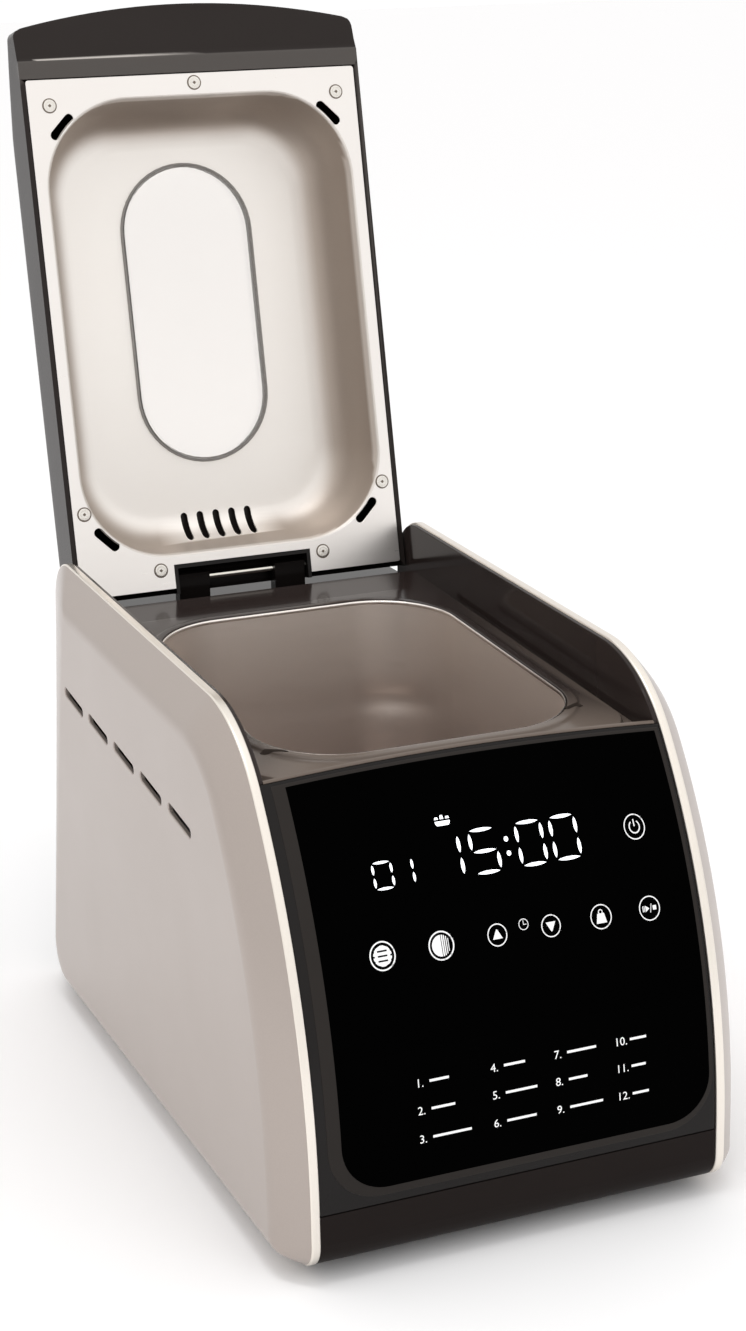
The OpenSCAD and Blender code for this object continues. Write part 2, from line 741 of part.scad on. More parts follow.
// lid outline drawn in by u, its lip an arc that rises by bow and turns round the corners
module lid_outline(u, l, bow, r) {
    half = lid_half - u;
    br = (lid_half * lid_half + bow * bow) / (2 * bow);
    arc_v = l + bow - br;
    corner_x = half - r;
    corner_v = arc_v + sqrt((br - r) * (br - r) - corner_x * corner_x);
    corner_a = atan2(corner_v - arc_v, corner_x);
    polygon(concat([[-half, -3], [half, -3]],
        arc([corner_x, corner_v], r, 0, corner_a, 10),
        arc([0, arc_v], br, corner_a, 180 - corner_a, 24),
        arc([-corner_x, corner_v], r, 180 - corner_a, 180, 10)));
}

// side view of the lid: v along the lid, w towards the deck; d draws the outline in
module lid_side(d) {
    slab(-120, 120) polygon(concat([[-3 + d, 0.01]],
        arc([rear_bend_r - 3, rear_bend_r - lid_t], rear_bend_r - d, 180, 270, 16),
        arc([shell_l - 60.1, lip_bend_r - lid_t], lip_bend_r - d, -90, -39.3, 20),
        [[shell_l + 12 - d, -2], [shell_l + 8 - d, 0.01]]));
}

// front view of the lid: flat sides with a bevel up to the full thickness
module lid_front(d) {
    translate([0, 320, 0]) rotate([90, 0, 0]) linear_extrude(330)
        polygon([[-lid_half + d, 0.01], [-lid_half + d, -lid_side_t + d * 0.6],
            [-lid_half + 20 + d * 0.4, -lid_t + d], [lid_half - 20 - d * 0.4, -lid_t + d],
            [lid_half - d, -lid_side_t + d * 0.6], [lid_half - d, 0.01]]);
}

module stadium(w, l) {
    translate([0, (l - w) / 2]) circle(w / 2, $fn = 96);
    translate([0, -(l - w) / 2]) circle(w / 2, $fn = 96);
    square([w, l - w], center = true);
}

module shell_block() {
    intersection() {
        translate([0, 0, -60]) linear_extrude(60) lid_outline(0, shell_l, lip_bow, 14);
        lid_side(0);
        lid_front(0);
    }
}

// trough round the hinge pin, grown by e: open to the plate's notch and to the rear
module hinge_trough(e) {
    half = notch_half - rim_w + e;
    slab(-half, half) polygon(concat([[-10, 1], [-10, -pin_off - trough_r - 1.5 - e]],
        arc([pin_v, -pin_off], trough_r + e, -90, 0, 10), [[pin_v + trough_r + e, 1]]));
}

module lid_shell() {
    color("#3f3a38") lid_place() difference() {
        union() {
            difference() {
                shell_block();
                intersection() {
                    translate([0, 0, -60]) linear_extrude(61) lid_outline(lid_wall, plate_l + 8.5, 6, 12);
                    translate([0, 0, 0.02]) lid_side(lid_wall);
                    translate([0, 0, 0.02]) lid_front(lid_wall);
                }
            }
            intersection() {
                shell_block();
                hinge_trough(trough_t);
            }
        }
        hinge_trough(0);
        translate([-60, pin_v, -pin_off]) rotate([0, 90, 0])
            cylinder(h = 120, r = pin_r + pin_fit, $fn = 48);
        translate([0, win_v, -60]) linear_extrude(40) stadium(win_w - 6, win_l - 6);
        slab(-120, 120) polygon([[plate_l + 9, 0.1], [plate_l + 10.5, -1.2],
            [shell_l + 7, -6], [shell_l + 14, -6], [shell_l + 14, 0.1]]);
    }
}

module bowl(e) {
    n = 10;
    for (i = [0:n - 1]) {
        z0 = -bowl_d * i / n;
        f = i / n;
        inset = 11 * f * f + 1.5 * f;
        translate([0, bowl_v, z0 - bowl_d / n - e]) linear_extrude(bowl_d / n + 0.02 + e)
            rr(bowl_w - 2 * inset + 2 * e, bowl_l - 2 * inset + 2 * e, bowl_r - inset + e);
    }
}

module lid_inner_plate() {
    color("#d9d7d3") lid_place() difference() {
        union() {
            translate([0, plate_l / 2, -0.8]) linear_extrude(0.8)
                rr(2 * plate_half, plate_l, 5);
            bowl(0.8);
        }
        translate([0, 0, 0.05]) bowl(0);
        translate([0, bowl_v, -2]) linear_extrude(3) rr(bowl_w, bowl_l, bowl_r);
        translate([-notch_half, -1, -2]) cube([2 * notch_half, notch_v + 1, 4]);
        translate([0, win_v, -60]) linear_extrude(50) stadium(win_w - 7, win_l - 7);
        for (s = [-1, 1]) {
            translate([s * 72.8, plate_l - 23.8, -3]) rotate([0, 0, s * -45]) linear_extrude(6)
                rotate([0, 0, 90]) stadium(4, 18);
            translate([s * 72.4, 29.4, -3]) rotate([0, 0, s * 45]) linear_extrude(6)
                rotate([0, 0, 90]) stadium(4, 18);
        }
        for (i = [-2:2]) translate([i * vent_step, bowl_v0 + 13.2, -bowl_d - 2])
            linear_extrude(bowl_d - 12) stadium(3.6, 14.6);
        for (p = lid_screw_at) translate([p[0], p[1], -3]) cylinder(h = 5, r = 1.9, $fn = 32);
    }
}

module lid_screws() {
    color("#c4c6c8") lid_place() for (p = lid_screw_at) translate([p[0], p[1], 0]) difference() {
        union() {
            translate([0, 0, 0.02]) cylinder(h = 0.7, r = 3.1, $fn = 32);
            translate([0, 0, -5]) cylinder(h = 5.1, r = 1.8, $fn = 32);
        }
        for (a = [0, 90]) rotate([0, 0, a]) translate([-1.8, -0.4, 0.2]) cube([3.6, 0.8, 2]);
    }
}

module window_seal() {
    color("#8c8b89") lid_place() translate([0, win_v, -bowl_d]) difference() {
        union() {
            translate([0, 0, 0.05]) linear_extrude(1.2) stadium(win_w + 1.6, win_l + 1.6);
            translate([0, 0, -3]) linear_extrude(3.2) stadium(win_w - 7.2, win_l - 7.2);
        }
        translate([0, 0, -4]) linear_extrude(8) stadium(win_w - 10, win_l - 10);
        translate([0, 0, 0.6]) linear_extrude(8) stadium(win_w - 1.6, win_l - 1.6);
    }
}

module lid_window() {
    color("#dfe6e8") lid_place() translate([0, win_v, -bowl_d + 0.62]) linear_extrude(2.6)
        stadium(win_w - 1.8, win_l - 1.8);
}

module lid_outer_window() {
    color("#2a2c2e") lid_place() translate([0, win_v, -lid_t]) {
        translate([0, 0, -0.9]) linear_extrude(0.9) stadium(win_w - 1, win_l - 1);
        translate([0, 0, -0.1]) linear_extrude(2.4) stadium(win_w - 6.4, win_l - 6.4);
    }
}

place() base_tray();
place() rubber_feet();
place() left_side_panel();
place() right_side_panel();
place() rear_cover();
place() cable_gland();
place() deck_frame();
place() front_housing();
place() panel_bezel();
place() control_glass();
place() control_board();
place() display_module();
place() oven_liner();
place() heat_shield();
place() heater_element();
place() heater_insulators();
place() temperature_sensor();
place() thermal_fuse();
place() chassis_plate();
place() chassis_screws();
place() shaft_bearing();
place() drive_shaft();
place() drive_coupling();
place() large_pulley();
place() motor_pulley();
place() drive_belt();
place() motor_stator();
place() motor_rotor();
place() cooling_fan();
place() power_board();
place() hinge_knuckles();
place() hinge_pin();
place() lid_hinge_lugs();
place() lid_shell();
place() lid_inner_plate();
place() lid_screws();
place() window_seal();
place() lid_window();
place() lid_outer_window();
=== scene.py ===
"""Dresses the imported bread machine: smooth housings, steel liner and lid, lit display, and studio."""

import json
import logging
import math
from collections.abc import Callable, Iterable, Sequence
from dataclasses import dataclass, field
from enum import Enum

import bmesh
import bpy
from mathutils import Matrix, Vector

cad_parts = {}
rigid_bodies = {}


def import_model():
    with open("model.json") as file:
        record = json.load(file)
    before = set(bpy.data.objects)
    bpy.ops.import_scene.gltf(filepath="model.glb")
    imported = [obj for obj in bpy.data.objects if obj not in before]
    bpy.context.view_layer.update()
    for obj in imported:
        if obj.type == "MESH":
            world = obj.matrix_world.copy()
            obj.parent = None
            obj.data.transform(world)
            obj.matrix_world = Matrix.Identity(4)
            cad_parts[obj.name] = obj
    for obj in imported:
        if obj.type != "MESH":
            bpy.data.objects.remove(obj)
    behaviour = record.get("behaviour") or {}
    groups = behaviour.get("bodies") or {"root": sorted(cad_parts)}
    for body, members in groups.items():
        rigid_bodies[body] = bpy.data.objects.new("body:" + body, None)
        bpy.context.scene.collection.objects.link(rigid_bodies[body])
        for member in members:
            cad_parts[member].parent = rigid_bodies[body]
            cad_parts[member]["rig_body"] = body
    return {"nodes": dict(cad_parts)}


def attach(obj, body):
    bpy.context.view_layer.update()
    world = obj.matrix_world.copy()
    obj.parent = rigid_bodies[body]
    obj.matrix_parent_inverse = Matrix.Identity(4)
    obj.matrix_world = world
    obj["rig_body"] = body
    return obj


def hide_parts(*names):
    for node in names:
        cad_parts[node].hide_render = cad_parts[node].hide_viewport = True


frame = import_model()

log = logging.getLogger("bread_machine")

MM = 0.001
ORIGIN_Y = 29.7  # mm from the drawing's zero back to the middle of the box
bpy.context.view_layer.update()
Point2 = tuple[float, float]
Object = bpy.types.Object
Material = bpy.types.Material


# ------------------------------------------------------------------ places


def world(x: float, y: float, z: float) -> Vector:
    """A point of the drawing, in mm, as a point of the frame, in metres."""
    return Vector((x * MM, (y - ORIGIN_Y) * MM, z * MM))


@dataclass(frozen=True)
class BodyShape:
    """The body's side outline and curved front, in mm."""

    half_gap: float = 95.0
    half_width: float = 112.0
    strip_w: float = 4.3
    top_z: float = 236.5
    top_slope: float = 0.035
    front_r: float = 290.0
    front_y: float = 181.5
    bend_r: float = 70.0
    arc_z: float = 35.0
    foot_h: float = 6.0
    base_seam_z: float = 32.5
    seam_z: float = 206.5
    seam_bow: float = 2.6
    rear_y0: float = 198.5
    rear_s: float = 0.1453
    rear_top_r: float = 26.0
    rear_low_r: float = 16.0
    front_low_r: float = 14.0
    deck_z: float = 207.3
    deck_slope: float = 0.056

    @property
    def arc_y(self) -> float:
        """The y of the front arc's centre."""
        return self.front_r - self.front_y

    def bend(self) -> tuple[float, float, float]:
        """Centre y, centre z and start angle, in radians, of the bend from front to top."""
        k = math.hypot(1, self.top_slope)
        c0 = self.top_z - self.bend_r * k - self.arc_z
        qa = 1 + self.top_slope**2
        qb = 2 * self.top_slope * c0 - 2 * self.arc_y
        qc = self.arc_y**2 + c0**2 - (self.front_r - self.bend_r) ** 2
        y = (-qb - math.sqrt(qb * qb - 4 * qa * qc)) / (2 * qa)
        z = self.top_z - self.bend_r * k + self.top_slope * y
        return y, z, math.atan2(z - self.arc_z, y - self.arc_y)

    def profile(self, inset: float = 0.0, below: float = 0.0, behind: float = 0.0) -> list[Point2]:
        """The outline seen from the side.

        Args:
            inset: how far top and front are drawn in.
            below: how far the underside is drawn in.
            behind: how far the rear is drawn in.

        Returns:
            Points (y, z) from the lower front corner over the top to the lower rear corner.
        """
        by, bz, ba = self.bend()
        top_a = math.pi / 2 + math.atan(self.top_slope)
        rear_a = math.atan(self.rear_s)
        k_top, k_rear = math.hypot(1, self.top_slope), math.hypot(1, self.rear_s)
        low = max(2.0, self.front_low_r - inset)
        rt_z = self.top_z - self.rear_top_r * k_top + self.top_slope * (
            self.rear_y0 - self.rear_top_r * k_rear
        )
        rt_z /= 1 + self.top_slope * self.rear_s
        rt_y = self.rear_y0 - self.rear_top_r * k_rear - self.rear_s * rt_z
        floor = self.foot_h + below
        rl_y = self.rear_y0 - behind - self.rear_s * floor - self.rear_low_r * 1.15
        return [
            *arc(-self.front_y + inset + low, floor + low, low, 1.5 * math.pi, math.pi, 8),
            *arc(self.arc_y, self.arc_z, self.front_r - inset, math.pi, ba, 44),
            *arc(by, bz, self.bend_r - inset, ba, top_a, 28)[1:],
            *arc(rt_y - behind, rt_z, self.rear_top_r - inset, top_a, rear_a, 16),
            *arc(rl_y, floor + self.rear_low_r, self.rear_low_r, rear_a, -math.pi / 2, 10),
        ]

    def front_depth(self, z: float, inset: float) -> float:
        """The y of the front surface, drawn in by inset, at height z."""
        by, bz, ba = self.bend()
        if z <= self.arc_z:
            return -self.front_y + inset
        if z <= self.arc_z + (self.front_r - inset) * math.sin(ba):
            return self.arc_y - math.sqrt((self.front_r - inset) ** 2 - (z - self.arc_z) ** 2)
        rise = min(z - bz, self.bend_r - inset - 0.01)
        return by - math.sqrt((self.bend_r - inset) ** 2 - rise**2)

    def on_front(self, x: float, z: float, inset: float) -> Vector:
        """A point of the front surface, drawn in by inset."""
        return world(x, self.front_depth(z, inset), z)

    def front_tilt(self, z: float) -> float:
        """How far the front leans back at height z, in radians."""
        step = 0.5
        rise = self.front_depth(z + step, 0) - self.front_depth(z - step, 0)
        return math.atan2(rise, 2 * step)

    def on_deck(self, x: float, y: float, h: float) -> Vector:
        """A point h above the sloping deck."""
        return world(x, y, self.deck_z + h + self.deck_slope * y)


@dataclass(frozen=True)
class LidPlace:
    """Where the open lid stands: v runs from the hinge to the lip and w towards the deck."""

    hinge_y: float = 158.5
    hinge_z: float = 222.2
    pin_v: float = 4.4
    pin_off: float = 6.0
    open_angle: float = 101.4

    @property
    def turn(self) -> float:
        """The lid's turn about the hinge, in radians."""
        return math.radians(180 - self.open_angle)

    def at(self, x: float, v: float, w: float) -> Vector:
        """A point of the lid as a point of the frame."""
        y, z = v - self.pin_v, w + self.pin_off
        c, s = math.cos(self.turn), math.sin(self.turn)
        return world(x, self.hinge_y + y * c - z * s, self.hinge_z + y * s + z * c)


BODY = BodyShape()
LID = LidPlace()


def arc(cx: float, cy: float, r: float, a0: float, a1: float, steps: int) -> list[Point2]:
    """Points of a circle's arc from angle a0 to a1, in radians, ends included."""
    turn = [a0 + (a1 - a0) * i / steps for i in range(steps + 1)]
    return [(cx + r * math.cos(a), cy + r * math.sin(a)) for a in turn]


def rounded(w: float, l: float, r: float, steps: int = 14, cy: float = 0.0) -> list[Point2]:
    """A rectangle w by l with corners of radius r, anticlockwise round (0, cy)."""
    r = max(r, 0.01)
    points: list[Point2] = []
    for i, (sx, sy) in enumerate(((1, 1), (-1, 1), (-1, -1), (1, -1))):
        start = i * math.pi / 2
        points += arc(sx * (w / 2 - r), cy + sy * (l / 2 - r), r, start, start + math.pi / 2, steps)
    return points


def stadium(w: float, l: float, steps: int = 24, cy: float = 0.0) -> list[Point2]:
    """A slot w wide and l long with round ends, along y round (0, cy)."""
    r = w / 2
    top = arc(0, cy + l / 2 - r, r, 0, math.pi, steps)
    return top + arc(0, cy - l / 2 + r, r, math.pi, 2 * math.pi, steps)


def turned(points: Iterable[Point2], angle: float, cx: float, cy: float) -> list[Point2]:
    """The points turned by angle, in radians, and moved to (cx, cy)."""
    c, s = math.cos(angle), math.sin(angle)
    return [(cx + x * c - y * s, cy + x * s + y * c) for x, y in points]


# ------------------------------------------------------------------ meshes


class Cap(Enum):
    """How a loft's end is closed."""

    OPEN = "open"
    FLAT = "flat"
    JOIN = "join"


def finished(name: str, bm: bmesh.types.BMesh, sharp: float = 35.0) -> Object:
    """Turns a bmesh into a linked object with outward faces, smooth below an angle.

    Args:
        name: the piece's name.
        bm: the mesh, which is freed.
        sharp: edges above this angle, in degrees, stay sharp.

    Returns:
        The new object.
    """
    bmesh.ops.remove_doubles(bm, verts=bm.verts, dist=1e-6)
    bmesh.ops.recalc_face_normals(bm, faces=bm.faces)
    mesh = bpy.data.meshes.new(name)
    bm.to_mesh(mesh)
    bm.free()
    mesh.shade_smooth()
    mesh.set_sharp_from_angle(angle=math.radians(sharp))
    piece = bpy.data.objects.new(name, mesh)
    bpy.context.scene.collection.objects.link(piece)
    return piece


def loft(
    name: str,
    rings: Sequence[Sequence[Vector]],
    first: Cap = Cap.FLAT,
    last: Cap = Cap.FLAT,
    sharp: float = 35.0,
    round_rings: bool = True,
) -> Object:
    """Skins a row of rings that have the same number of points.

    Args:
        name: the piece's name.
        rings: the rings in order.
        first: how the first ring is closed.
        last: how the last ring is closed; JOIN joins it to the first ring.
        sharp: edges above this angle, in degrees, stay sharp.
        round_rings: False if each ring is an open line.

    Returns:
        The new object.
    """
    bm = bmesh.new()
    rows = [[bm.verts.new(p) for p in ring] for ring in rings]
    pairs = list(zip(rows, rows[1:]))
    if last is Cap.JOIN:
        pairs.append((rows[-1], rows[0]))
    n = len(rows[0])
    for a, b in pairs:
        for i in range(n if round_rings else n - 1):
            j = (i + 1) % n
            bm.faces.new((a[i], a[j], b[j], b[i]))
    if first is Cap.FLAT and last is not Cap.JOIN:
        bm.faces.new(rows[0][::-1])
    if last is Cap.FLAT:
        bm.faces.new(rows[-1])
    if last is Cap.JOIN and not round_rings:
        for end in (0, -1):
            rim = bm.faces.new([row[end] for row in rows])
            bmesh.ops.triangulate(bm, faces=[rim])
    return finished(name, bm, sharp)


def sheet_with_holes(
    name: str,
    outer: Sequence[Point2],
    holes: Sequence[Sequence[Point2]],
    levels: Sequence[tuple[float, float]],
    place: Callable[[float, float, float], Vector],
) -> Object:
    """A flat plate with holes, whose edges are chamfered.

    Args:
        name: the piece's name.
        outer: the outline.
        holes: the outlines of its holes.
        levels: heights from one face to the other, each with how far the edge is drawn in.
        place: turns (x, y, height) into a point of the frame.

    Returns:
        The new object.
    """
    bm = bmesh.new()
    for end in (0, len(levels) - 1):
        height, draw = levels[end]
        edges = []
        for k, loop in enumerate((outer, *holes)):
            row = [bm.verts.new(place(x, y, height)) for x, y in offset(loop, draw if k == 0 else -draw)]
            edges += [bm.edges.new((row[i], row[(i + 1) % len(row)])) for i in range(len(row))]
        bmesh.ops.triangle_fill(bm, edges=edges, use_beauty=True)
    for k, loop in enumerate((outer, *holes)):
        rows = [
            [bm.verts.new(place(x, y, h)) for x, y in offset(loop, d if k == 0 else -d)]
            for h, d in levels
        ]
        for a, b in zip(rows, rows[1:]):
            for i in range(len(a)):
                j = (i + 1) % len(a)
                bm.faces.new((a[i], a[j], b[j], b[i]))
    return finished(name, bm, 30)


def offset(loop: Sequence[Point2], inward: float) -> list[Point2]:
    """An anticlockwise outline drawn in by a small distance."""
    if abs(inward) < 1e-9:
        return list(loop)
    out = []
    n = len(loop)
    for i in range(n):
        ax, ay = loop[i - 1]
        bx, by = loop[(i + 1) % n]
        tx, ty = bx - ax, by - ay
        k = math.hypot(tx, ty) or 1.0
        out.append((loop[i][0] - ty / k * inward, loop[i][1] + tx / k * inward))
    return out


def joined(name: str, parts: Sequence[Object]) -> Object:
    """Joins several new pieces into one, keeping their shading."""
    with bpy.context.temp_override(
        active_object=parts[0], object=parts[0], selected_editable_objects=list(parts)
    ):
        bpy.ops.object.join()
    parts[0].name = name
    return parts[0]


def settled(piece: Object) -> Object:
    """Bakes face-weighted normals into a piece, so that flat areas shade flat up to their edges."""
    step = piece.modifiers.new("weighted", "WEIGHTED_NORMAL")
    step.keep_sharp = True
    baked = bpy.data.meshes.new_from_object(
        piece.evaluated_get(bpy.context.evaluated_depsgraph_get())
    )
    piece.modifiers.clear()
    piece.data = baked
    return piece


def cut(piece: Object, cutters: Sequence[Object], sharp: float = 30.0) -> Object:
    """Cuts closed shapes out of a piece and removes them."""
    for cutter in cutters:
        step = piece.modifiers.new("cut", "BOOLEAN")
        step.operation = "DIFFERENCE"
        step.solver = "EXACT"
        step.object = cutter
    baked = bpy.data.meshes.new_from_object(
        piece.evaluated_get(bpy.context.evaluated_depsgraph_get())
    )
    piece.modifiers.clear()
    piece.data = baked
    for cutter in cutters:
        bpy.data.objects.remove(cutter)
    baked.shade_smooth()
    baked.set_sharp_from_angle(angle=math.radians(sharp))
    return piece


def carried(node: str, sharp: float = 30.0) -> Object:
    """A merged and smoothed copy of a CAD node, which it replaces.

    Args:
        node: the CAD node's name.
        sharp: edges above this angle, in degrees, stay sharp.

    Returns:
        The new piece, riding on the node's body.
    """
    source = frame["nodes"][node]
    bm = bmesh.new()
    bm.from_mesh(source.data)
    bmesh.ops.remove_doubles(bm, verts=bm.verts, dist=2e-6)
    bmesh.ops.dissolve_limit(bm, angle_limit=math.radians(0.5), verts=bm.verts, edges=bm.edges)
    mesh = bpy.data.meshes.new(node + "_piece")
    bm.to_mesh(mesh)
    bm.free()
    mesh.shade_smooth()
    mesh.set_sharp_from_angle(angle=math.radians(sharp))
    piece = bpy.data.objects.new(node + "_piece", mesh)
    bpy.context.scene.collection.objects.link(piece)
    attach(piece, source["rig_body"])
    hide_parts(node)
    return piece


# ------------------------------------------------------------------ geometry nodes


def add_node(
    tree: bpy.types.NodeTree,
    kind: str,
    inputs: dict[str | int, object] | None = None,
    **settings: object,
) -> bpy.types.Node:
    """Adds a node.

    Args:
        tree: the tree it goes into.
        kind: the node's type name.
        inputs: socket name or index to a value, or to the socket it is linked from.
        **settings: the node's own settings.

    Returns:
        The new node.
    """
    made = tree.nodes.new(kind)
    for key, value in settings.items():
        setattr(made, key, value)
    for key, value in (inputs or {}).items():
        if isinstance(value, bpy.types.NodeSocket):
            tree.links.new(value, made.inputs[key])
        else:
            made.inputs[key].default_value = value
    return made


@dataclass(frozen=True)
class Spot:
    """One place of a repeated piece: point in metres, turn as Euler angles, and scale."""

    at: Vector
    turn: tuple[float, float, float] = (0.0, 0.0, 0.0)
    size: tuple[float, float, float] = (1.0, 1.0, 1.0)


def repeat_tree() -> bpy.types.NodeTree:
    """The tree that sets one piece on every point of a mesh and makes the result real."""
    tree = bpy.data.node_groups.get("repeat_piece")
    if tree:
        return tree
    tree = bpy.data.node_groups.new("repeat_piece", "GeometryNodeTree")
    face = tree.interface
    face.new_socket("Points", in_out="INPUT", socket_type="NodeSocketGeometry")
    face.new_socket("Piece", in_out="INPUT", socket_type="NodeSocketObject")
    face.new_socket("Size", in_out="INPUT", socket_type="NodeSocketFloat").default_value = 1.0
    face.new_socket("Finish", in_out="INPUT", socket_type="NodeSocketMaterial")
    face.new_socket("Geometry", in_out="OUTPUT", socket_type="NodeSocketGeometry")
    given = add_node(tree, "NodeGroupInput").outputs
    part = add_node(tree, "GeometryNodeObjectInfo", {"Object": given["Piece"]})
    turn = add_node(tree, "GeometryNodeInputNamedAttribute", {"Name": "turn"}, data_type="FLOAT_VECTOR")
    size = add_node(tree, "GeometryNodeInputNamedAttribute", {"Name": "size"}, data_type="FLOAT_VECTOR")
    euler = add_node(tree, "FunctionNodeEulerToRotation", {0: turn.outputs["Attribute"]})
    scale = add_node(
        tree,
        "ShaderNodeVectorMath",
        {0: size.outputs["Attribute"], "Scale": given["Size"]},
        operation="SCALE",
    )
    spread = add_node(
        tree,
        "GeometryNodeInstanceOnPoints",
        {
            "Points": given["Points"],
            "Instance": part.outputs["Geometry"],
            "Rotation": euler.outputs[0],
            "Scale": scale.outputs[0],
        },
    )
    real = add_node(tree, "GeometryNodeRealizeInstances", {0: spread.outputs[0]})
    painted = add_node(
        tree, "GeometryNodeSetMaterial", {"Geometry": real.outputs[0], "Material": given["Finish"]}
    )
    add_node(tree, "NodeGroupOutput", {0: painted.outputs[0]})
    return tree


def repeated(name: str, unit: Object, spots: Sequence[Spot], finish: Material) -> Object:
    """Sets a unit piece on every spot and bakes the result to a plain mesh.

    Args:
        name: the piece's name.
        unit: the piece that is repeated; it is removed.
        spots: the places.
        finish: the material.

    Returns:
        The baked piece.
    """
    mesh = bpy.data.meshes.new(name + "_points")
    mesh.from_pydata([s.at for s in spots], [], [])
    for key in ("turn", "size"):
        layer = mesh.attributes.new(key, "FLOAT_VECTOR", "POINT")
        layer.data.foreach_set("vector", [c for s in spots for c in getattr(s, key)])
    carrier = bpy.data.objects.new(name + "_carrier", mesh)
    bpy.context.scene.collection.objects.link(carrier)
    step = carrier.modifiers.new("repeat", "NODES")
    tree = repeat_tree()
    step.node_group = tree
    given = {s.name: s.identifier for s in tree.interface.items_tree if s.in_out == "INPUT"}
    step[given["Piece"]] = unit
    step[given["Size"]] = 1.0
    step[given["Finish"]] = finish
    bpy.context.view_layer.update()
    result = carrier.evaluated_get(bpy.context.evaluated_depsgraph_get())
    baked = bpy.data.meshes.new_from_object(result)
    piece = bpy.data.objects.new(name, baked)
    bpy.context.scene.collection.objects.link(piece)
    bpy.data.objects.remove(carrier)
    bpy.data.objects.remove(unit)
    baked.materials.clear()
    baked.materials.append(finish)
    return piece


# ------------------------------------------------------------------ finishes


def linear(colour: str) -> tuple[float, float, float, float]:
    """An sRGB hex colour as linear RGBA."""
    parts = [int(colour[i : i + 2], 16) / 255 for i in (1, 3, 5)]
    return (*(c / 12.92 if c <= 0.04045 else ((c + 0.055) / 1.055) ** 2.4 for c in parts), 1.0)


class Pattern(Enum):
    """How a surface was made."""

    PLAIN = "plain"
    BRUSHED = "brushed"
    MOULDED = "moulded"
    FLAKED = "flaked"


@dataclass(frozen=True)
class Finish:
    """A surface: colour, gloss and the marks its making leaves."""

    name: str
    colour: str
    second: str = ""
    rough: float = 0.4
    rough_spread: float = 0.06
    metal: float = 0.0
    specular: float = 0.5
    coat: float = 0.0
    coat_rough: float = 0.05
    ior: float = 1.5
    pattern: Pattern = Pattern.PLAIN
    grain_mm: float = 1.0
    stretch: tuple[float, float, float] = (1.0, 1.0, 1.0)
    relief_mm: float = 0.02
    cloud_mm: float = 60.0
    # colour of painted light and shade, mixed in where the mesh's painted-light mask says so
    painted_light_tone: str = ""
    transmission: float = 0.0
    glow: str = ""
    glow_strength: float = 0.0

    def build(self) -> Material:
        """Makes the material once and returns it."""
        known = bpy.data.materials.get(self.name)
        if known:
            return known
        made = bpy.data.materials.new(self.name)
        made.use_nodes = True
        tree = made.node_tree
        tree.nodes.clear()
        shader = add_node(
            tree,
            "ShaderNodeBsdfPrincipled",
            {
                "Base Color": linear(self.colour),
                "Metallic": self.metal,
                "Roughness": self.rough,
                "Specular IOR Level": self.specular,
                "Coat Weight": self.coat,
                "Coat Roughness": self.coat_rough,
                "IOR": self.ior,
                "Transmission Weight": self.transmission,
            },
        )
        if self.glow:
            shader.inputs["Emission Color"].default_value = linear(self.glow)
            shader.inputs["Emission Strength"].default_value = self.glow_strength
        add_node(tree, "ShaderNodeOutputMaterial", {"Surface": shader.outputs[0]})
        self._dress(tree, shader)
        return made

    def _dress(self, tree: bpy.types.NodeTree, shader: bpy.types.Node) -> None:
        """Adds the colour clouds, the grain's roughness and its relief."""
        place = add_node(tree, "ShaderNodeTexCoord").outputs["Object"]
        cloud = add_node(
            tree,
            "ShaderNodeTexNoise",
            {"Vector": place, "Scale": 1 / (self.cloud_mm * MM), "Detail": 3.0, "Roughness": 0.55},
        ).outputs["Fac"]
        grain_scale = 1 / (self.grain_mm * MM)
        along = add_node(
            tree,
            "ShaderNodeMapping",
            {"Vector": place, "Scale": tuple(grain_scale * s for s in self.stretch)},
        ).outputs[0]
        grain = add_node(
            tree, "ShaderNodeTexNoise", {"Vector": along, "Scale": 1.0, "Detail": 4.0}
        ).outputs["Fac"]
        if self.second:
            mix = grain if self.pattern is Pattern.FLAKED else cloud
            blend = add_node(
                tree,
                "ShaderNodeMix",
                {0: mix, 6: linear(self.colour), 7: linear(self.second)},
                data_type="RGBA",
            ).outputs[2]
            if self.painted_light_tone:
                blend = self._painted_light(tree, blend)
            tree.links.new(blend, shader.inputs["Base Color"])
        spread = self.rough_spread
        rough = add_node(
            tree,
            "ShaderNodeMapRange",
            {
                "Value": grain if self.pattern is Pattern.BRUSHED else cloud,
                "To Min": max(0.02, self.rough - spread),
                "To Max": self.rough + spread,
            },
        ).outputs[0]
        tree.links.new(rough, shader.inputs["Roughness"])
        if self.pattern is not Pattern.PLAIN:
            bump = add_node(
                tree,
                "ShaderNodeBump",
                {"Height": grain, "Strength": 0.35, "Distance": self.relief_mm * MM},
            ).outputs[0]
            tree.links.new(bump, shader.inputs["Normal"])

    def _painted_light(self, tree: bpy.types.NodeTree, colour: bpy.types.NodeSocket) -> bpy.types.NodeSocket:
        """Mixes in the painted light and shade colour where the mesh's own painted-light mask says so."""
        mask = add_node(tree, "ShaderNodeAttribute", attribute_name="toned").outputs["Fac"]
        return add_node(
            tree,
            "ShaderNodeMix",
            {0: mask, 6: colour, 7: linear(self.painted_light_tone)},
            data_type="RGBA",
        ).outputs[2]


